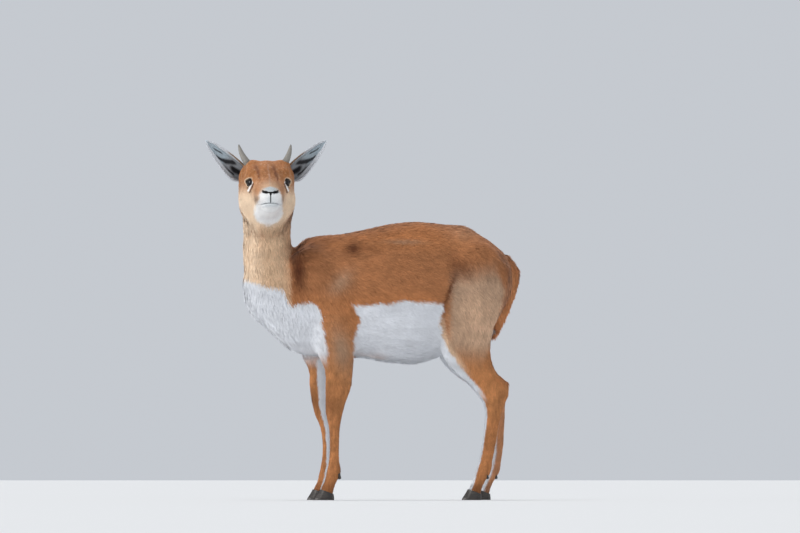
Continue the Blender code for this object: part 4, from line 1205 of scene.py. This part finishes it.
def coat_material():
    """Hair: the painted markings, finer strands along each tuft, and a dry sheen."""
    if "coat_hair" in bpy.data.materials:
        return bpy.data.materials["coat_hair"]
    material, nodes, links = new_material("coat_hair")
    shader = nodes["Principled BSDF"]
    shader.inputs["Roughness"].default_value = 0.78
    shader.inputs["Specular IOR Level"].default_value = 0.18
    shader.inputs["Sheen Weight"].default_value = 0.12
    shader.inputs["Sheen Roughness"].default_value = 0.5
    colour = nodes.new("ShaderNodeAttribute")
    colour.attribute_name = "coat"
    strand = nodes.new("ShaderNodeUVMap")
    strand.uv_map = "strand"
    place = nodes.new("ShaderNodeTexCoord")
    stretch = nodes.new("ShaderNodeMapping")
    stretch.inputs["Scale"].default_value = (5.0, 0.6, 1.0)
    fine = nodes.new("ShaderNodeTexNoise")
    fine.inputs["Scale"].default_value = 1.0
    fine.inputs["Detail"].default_value = 1.0
    offset = nodes.new("ShaderNodeVectorMath")
    offset.operation = "MULTIPLY_ADD"
    offset.inputs[1].default_value = (40.0, 40.0, 40.0)
    links.new(strand.outputs["UV"], stretch.inputs["Vector"])
    links.new(place.outputs["Object"], offset.inputs[0])
    links.new(stretch.outputs["Vector"], offset.inputs[2])
    links.new(offset.outputs["Vector"], fine.inputs["Vector"])
    level = nodes.new("ShaderNodeMapRange")
    level.inputs["From Min"].default_value = 0.3
    level.inputs["From Max"].default_value = 0.7
    level.inputs["To Min"].default_value = 0.88
    level.inputs["To Max"].default_value = 1.10
    links.new(fine.outputs["Fac"], level.inputs["Value"])
    tint = nodes.new("ShaderNodeVectorMath")
    tint.operation = "SCALE"
    links.new(colour.outputs["Color"], tint.inputs[0])
    links.new(level.outputs["Result"], tint.inputs["Scale"])
    links.new(tint.outputs["Vector"], shader.inputs["Base Color"])
    return material


def skin_material():
    """Skin under the hair: the same markings, a little darker, with the fine grain of close short fur."""
    material, nodes, links = new_material("skin")
    shader = nodes["Principled BSDF"]
    shader.inputs["Roughness"].default_value = 0.72
    shader.inputs["Specular IOR Level"].default_value = 0.22
    colour = nodes.new("ShaderNodeAttribute")
    colour.attribute_name = "coat"
    place = nodes.new("ShaderNodeTexCoord")
    grain = nodes.new("ShaderNodeTexNoise")
    grain.inputs["Scale"].default_value = 900.0
    grain.inputs["Detail"].default_value = 2.0
    links.new(place.outputs["Object"], grain.inputs["Vector"])
    level = nodes.new("ShaderNodeMapRange")
    level.inputs["To Min"].default_value = 0.84
    level.inputs["To Max"].default_value = 1.05
    links.new(grain.outputs["Fac"], level.inputs["Value"])
    tint = nodes.new("ShaderNodeVectorMath")
    tint.operation = "SCALE"
    links.new(colour.outputs["Color"], tint.inputs[0])
    links.new(level.outputs["Result"], tint.inputs["Scale"])
    links.new(tint.outputs["Vector"], shader.inputs["Base Color"])
    bump = nodes.new("ShaderNodeBump")
    bump.inputs["Strength"].default_value = 0.5
    bump.inputs["Distance"].default_value = 0.0006
    links.new(grain.outputs["Fac"], bump.inputs["Height"])
    links.new(bump.outputs["Normal"], shader.inputs["Normal"])
    return material


def lid_material():
    """Bare moist lid: the dark margin and the pale rim beyond it."""
    material, nodes, links = new_material("lid_bare")
    shader = nodes["Principled BSDF"]
    shader.inputs["Roughness"].default_value = 0.48
    shader.inputs["Specular IOR Level"].default_value = 0.16
    colour = nodes.new("ShaderNodeAttribute")
    colour.attribute_name = "coat"
    place = nodes.new("ShaderNodeTexCoord")
    grain = nodes.new("ShaderNodeTexNoise")
    grain.inputs["Scale"].default_value = 700.0
    links.new(place.outputs["Object"], grain.inputs["Vector"])
    links.new(colour.outputs["Color"], shader.inputs["Base Color"])
    bump = nodes.new("ShaderNodeBump")
    bump.inputs["Strength"].default_value = 0.3
    bump.inputs["Distance"].default_value = 0.0004
    links.new(grain.outputs["Fac"], bump.inputs["Height"])
    links.new(bump.outputs["Normal"], shader.inputs["Normal"])
    return material


def eye_material():
    """A wet dark eye: black pupil, deep brown iris, painted by place round the way it faces."""
    material, nodes, links = new_material("eye_wet")
    shader = nodes["Principled BSDF"]
    shader.inputs["Roughness"].default_value = 0.03
    shader.inputs["Specular IOR Level"].default_value = 0.28
    colour = nodes.new("ShaderNodeAttribute")
    colour.attribute_name = "iris"
    links.new(colour.outputs["Color"], shader.inputs["Base Color"])
    return material


def horn_material():
    """Grey-brown horn with faint rings and lengthwise wear."""
    material, nodes, links = new_material("horn_grey")
    shader = nodes["Principled BSDF"]
    shader.inputs["Roughness"].default_value = 0.5
    colour = nodes.new("ShaderNodeAttribute")
    colour.attribute_name = "horn"
    place = nodes.new("ShaderNodeTexCoord")
    wear = nodes.new("ShaderNodeTexNoise")
    wear.inputs["Scale"].default_value = 260.0
    wear.inputs["Detail"].default_value = 3.0
    links.new(place.outputs["Object"], wear.inputs["Vector"])
    level = nodes.new("ShaderNodeMapRange")
    level.inputs["To Min"].default_value = 0.72
    level.inputs["To Max"].default_value = 1.18
    links.new(wear.outputs["Fac"], level.inputs["Value"])
    tint = nodes.new("ShaderNodeVectorMath")
    tint.operation = "SCALE"
    links.new(colour.outputs["Color"], tint.inputs[0])
    links.new(level.outputs["Result"], tint.inputs["Scale"])
    links.new(tint.outputs["Vector"], shader.inputs["Base Color"])
    bump = nodes.new("ShaderNodeBump")
    bump.inputs["Strength"].default_value = 0.35
    bump.inputs["Distance"].default_value = 0.0006
    links.new(wear.outputs["Fac"], bump.inputs["Height"])
    links.new(bump.outputs["Normal"], shader.inputs["Normal"])
    return material


def hoof_material():
    """Black horn with fine growth lines, some of them a little paler."""
    material, nodes, links = new_material("hoof_black")
    shader = nodes["Principled BSDF"]
    shader.inputs["Roughness"].default_value = 0.42
    place = nodes.new("ShaderNodeTexCoord")
    stretch = nodes.new("ShaderNodeMapping")
    stretch.inputs["Scale"].default_value = (60.0, 60.0, 420.0)
    lines = nodes.new("ShaderNodeTexNoise")
    lines.inputs["Scale"].default_value = 1.0
    lines.inputs["Detail"].default_value = 3.0
    links.new(place.outputs["Object"], stretch.inputs["Vector"])
    links.new(stretch.outputs["Vector"], lines.inputs["Vector"])
    shades = nodes.new("ShaderNodeValToRGB")
    shades.color_ramp.elements[0].position = 0.35
    shades.color_ramp.elements[0].color = (0.012, 0.010, 0.009, 1)
    shades.color_ramp.elements[1].position = 0.75
    shades.color_ramp.elements[1].color = (0.055, 0.045, 0.038, 1)
    links.new(lines.outputs["Fac"], shades.inputs["Fac"])
    links.new(shades.outputs["Color"], shader.inputs["Base Color"])
    bump = nodes.new("ShaderNodeBump")
    bump.inputs["Strength"].default_value = 0.4
    bump.inputs["Distance"].default_value = 0.0005
    links.new(lines.outputs["Fac"], bump.inputs["Height"])
    links.new(bump.outputs["Normal"], shader.inputs["Normal"])
    return material


# Sizes and colours that a user would change
def colour_setting(name, description, default):
    return FloatVectorProperty(name=name, description=description, subtype="COLOR", min=0, max=1, default=default)


class BlackbuckSettings(bpy.types.PropertyGroup):
    """Sizes and colours of the animal and its stage."""

    voxel: FloatProperty(name="Skin step", description="Width of the skin's first cells", default=0.0029, unit="LENGTH")
    density: FloatProperty(name="Coat density", description="Tufts to the square metre of trunk", default=350000.0)
    seed: IntProperty(name="Seed", description="Start of the coat's random draws", default=7)
    ear_back: colour_setting("Ear back", "Tan of the ears behind", (0.33, 0.190, 0.095))
    iris: colour_setting("Iris", "Deep brown round the pupil", (0.012, 0.006, 0.004))
    eye_length: FloatProperty(name="Eye length", description="Between the lids' corners", default=0.0290, unit="LENGTH")
    eye_height: FloatProperty(name="Eye height", description="Between the lids", default=0.0205, unit="LENGTH")
    fawn: colour_setting("Fawn", "The flank", (0.40, 0.166, 0.068))
    # Dark fawn is also the painted shade behind the neck and withers, over the hip, down the fold before the thigh and
    # behind the hocks
    dark_fawn_and_shade: colour_setting("Dark fawn", "Folds and the dark parts of the flank", (0.085, 0.020, 0.005))
    back: colour_setting("Back", "The warm brown along the back", (0.50, 0.198, 0.072))
    thigh: colour_setting("Thigh", "The grey tan of thigh and shoulder", (0.45, 0.305, 0.205))
    leg: colour_setting("Leg", "Tan of the legs", (0.50, 0.213, 0.080))
    neck: colour_setting("Neck", "Pale fawn of the neck", (0.64, 0.435, 0.277))
    forehead: colour_setting("Forehead", "Warm fawn of the brow", (0.41, 0.168, 0.060))
    cream: colour_setting("Cream", "Cheeks and the front of the neck", (0.84, 0.65, 0.47))
    white: colour_setting("White", "Belly, chest, chin and inner legs", (0.73, 0.75, 0.79))
    black: colour_setting("Black", "Nose and lids", (0.007, 0.006, 0.007))
    horn: colour_setting("Horn", "Grey beige of the horns", (0.25, 0.235, 0.21))
    floor: colour_setting("Floor", "The stage's floor", (0.68, 0.69, 0.70))
    view_azimuth: FloatProperty(name="View azimuth", description="The camera's turn", default=168.0)
    view_height: FloatProperty(name="View height", description="The camera's height", default=0.18, unit="LENGTH")
    view_distance: FloatProperty(name="View distance", description="From camera to animal", default=60.0, unit="LENGTH")


# Operators
class BLACKBUCK_OT_skin(bpy.types.Operator):
    """Grow the skin over the flesh"""

    bl_idname = "blackbuck.skin"
    bl_label = "Skin"

    def execute(self, context):
        settings = context.scene.blackbuck
        points, faces = skin_refined(*skin_forms(settings), settings)
        points = carved(points, faces, settings)
        normals = normals_of(points, faces)
        SKIN.update(points=points, faces=faces, normals=normals, material=skin_material())
        obj = piece("skin", points, faces, SKIN["material"], FLESH)
        paint(obj, "coat", (markings(points, normals, settings) * 0.94).clip(0.002, 0.95))
        print("skin", len(faces))
        return {"FINISHED"}


class BLACKBUCK_OT_coat(bpy.types.Operator):
    """Set tufts of hair over the skin"""

    bl_idname = "blackbuck.coat"
    bl_label = "Coat"

    def execute(self, context):
        settings = context.scene.blackbuck
        names = region_of(SKIN["points"][SKIN["faces"]].mean(axis=1))
        random = np.random.default_rng(settings.seed)
        total = 0
        for kind in sorted(set(names)):
            obj = coat_piece(kind, names, settings, random)
            print(obj.name, len(obj.data.polygons))
            total += len(obj.data.polygons)
        print("coat", total)
        return {"FINISHED"}


class BLACKBUCK_OT_ears(bpy.types.Operator):
    """Make the ears and their hair"""

    bl_idname = "blackbuck.ears"
    bl_label = "Ears"

    def execute(self, context):
        settings = context.scene.blackbuck
        random = np.random.default_rng(settings.seed + 1)
        for side, s in SIDES:
            points, faces, place = ear_mesh(s)
            obj = piece("ear_cup_" + side, points, faces, SKIN["material"], ["ear_" + side])
            paint(obj, "coat", (ear_colours(place, settings) * 0.94).clip(0.002, 0.95))
            ear_coat(side, s, settings, random)
        return {"FINISHED"}


class BLACKBUCK_OT_eyes(bpy.types.Operator):
    """Set the eyes and their lids"""

    bl_idname = "blackbuck.eyes"
    bl_label = "Eyes"

    def execute(self, context):
        settings = context.scene.blackbuck
        tree = BVHTree.FromPolygons(SKIN["points"].tolist(), SKIN["faces"].tolist())
        wet = eye_material()
        lid = lid_material()
        for (side, _), (s, centre, facing, along, up) in zip(SIDES, eye_frames()):
            points, faces, colour = eye_mesh(s, centre, facing, along, up, settings)
            obj = piece("eyeball_" + side, points, faces, wet, ["eye_" + side])
            paint(obj, "iris", colour)
            points, faces, margin = lid_mesh(tree, centre, facing, along, up, settings)
            if s > 0:
                faces = faces[:, ::-1]
            obj = piece("lid_" + side, points, faces, lid)
            ring = np.broadcast_to(np.array(settings.cream) * 0.9, points.shape)
            paint(obj, "coat", mixed(ring, np.array(settings.black), margin))
        return {"FINISHED"}


class BLACKBUCK_OT_horns(bpy.types.Operator):
    """Make the horns, and finish the hooves"""

    bl_idname = "blackbuck.horns"
    bl_label = "Horns and hooves"

    def execute(self, context):
        settings = context.scene.blackbuck
        grey = horn_material()
        for side, s in SIDES:
            points, faces, at = horn_mesh(s)
            obj = piece("spike_" + side, points, faces, grey, ["horn_" + side])
            base = np.array(settings.horn)
            colour = mixed(base * (0.55, 0.50, 0.44), base, ramp(at, 0.05, 0.40))
            paint(obj, "horn", mixed(colour, base * 0.62, ramp(at, 0.85, 1.0)))
        black = hoof_material()
        for name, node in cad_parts.items():
            if name.startswith(("hoof", "dewclaw")):
                node.data.materials.clear()
                node.data.materials.append(black)
        return {"FINISHED"}


class BLACKBUCK_OT_stage(bpy.types.Operator):
    """Floor, light and the camera at the photograph's angle"""

    bl_idname = "blackbuck.stage"
    bl_label = "Stage"

    def execute(self, context):
        settings = context.scene.blackbuck
        scene = context.scene
        turn = math.radians(settings.view_azimuth)
        back = Vector((math.sin(turn), -math.cos(turn), 0))
        right = Vector((math.cos(turn), math.sin(turn), 0))
        scale = 370.0
        centre = right * ((400 - 366) / scale) + Vector(ORIGIN)
        centre.z = (500 - 266.5) / scale
        camera = bpy.data.objects.new("camera", bpy.data.cameras.new("camera"))
        scene.collection.objects.link(camera)
        scene.camera = camera
        camera.data.sensor_width = 36.0
        camera.location = centre + back * settings.view_distance
        camera.location.z = settings.view_height
        away = centre - camera.location
        camera.data.lens = 36.0 * away.length * scale / 800
        camera.rotation_mode = "QUATERNION"
        camera.rotation_quaternion = away.to_track_quat("-Z", "Y")
        camera.data.clip_end = 200.0
        scene.view_settings.view_transform = "Standard"

        count, reach = 96, 0.42 * settings.view_distance
        ring = [(math.cos(2 * math.pi * k / count) * reach, math.sin(2 * math.pi * k / count) * reach, 0) for k in range(count)]
        mesh = bpy.data.meshes.new("floor")
        mesh.from_pydata(ring, [], [list(range(count))])
        floor = bpy.data.objects.new("floor", mesh)
        scene.collection.objects.link(floor)
        material, nodes, _ = new_material("floor_matt")
        nodes["Principled BSDF"].inputs["Base Color"].default_value = (*settings.floor, 1)
        nodes["Principled BSDF"].inputs["Roughness"].default_value = 0.9
        mesh.materials.append(material)

        world = bpy.data.worlds.new("studio")
        scene.world = world
        world.use_nodes = True
        world.node_tree.nodes["Background"].inputs["Color"].default_value = (0.80, 0.84, 0.90, 1)
        world.node_tree.nodes["Background"].inputs["Strength"].default_value = 0.70
        middle = Vector(ORIGIN) + Vector((-0.03, 0, 0.5))
        for name, side, ahead, up, softness, power in (
            ("key", -2.6, 1.2, 0.8, 28, 1.85),
            ("fill", 1.7, 3.0, 0.3, 80, 0.90),
            ("rim", -0.4, -1.4, 2.4, 30, 1.30),
        ):
            light = bpy.data.lights.new(name, "SUN")
            light.angle = math.radians(softness)
            light.energy = power
            light.color = (1.0, 0.975, 0.94)
            lamp = bpy.data.objects.new(name, light)
            scene.collection.objects.link(lamp)
            lamp.location = middle + right * side + back * ahead + Vector((0, 0, up))
            lamp.rotation_mode = "QUATERNION"
            lamp.rotation_quaternion = (middle - lamp.location).to_track_quat("-Z", "Y")
        return {"FINISHED"}


class BLACKBUCK_PT_panel(bpy.types.Panel):
    """Lists the steps that dress the animal"""

    bl_label = "Blackbuck"
    bl_idname = "BLACKBUCK_PT_panel"
    bl_space_type = "VIEW_3D"
    bl_region_type = "UI"
    bl_category = "Blackbuck"

    def draw(self, context):
        for step in STEPS:
            self.layout.operator(step.bl_idname)
        for name in BlackbuckSettings.__annotations__:
            self.layout.prop(context.scene.blackbuck, name)


STEPS = (
    BLACKBUCK_OT_skin,
    BLACKBUCK_OT_ears,
    BLACKBUCK_OT_eyes,
    BLACKBUCK_OT_horns,
    BLACKBUCK_OT_coat,
    BLACKBUCK_OT_stage,
)
CLASSES = (BlackbuckSettings, *STEPS, BLACKBUCK_PT_panel)


def register():
    for item in CLASSES:
        bpy.utils.register_class(item)
    bpy.types.Scene.blackbuck = PointerProperty(type=BlackbuckSettings)


def unregister():
    del bpy.types.Scene.blackbuck
    for item in reversed(CLASSES):
        bpy.utils.unregister_class(item)


def main():
    register()
    bpy.ops.blackbuck.skin()
    bpy.ops.blackbuck.ears()
    bpy.ops.blackbuck.eyes()
    bpy.ops.blackbuck.horns()
    bpy.ops.blackbuck.coat()
    bpy.ops.blackbuck.stage()


if __name__ == "__main__":
    main()
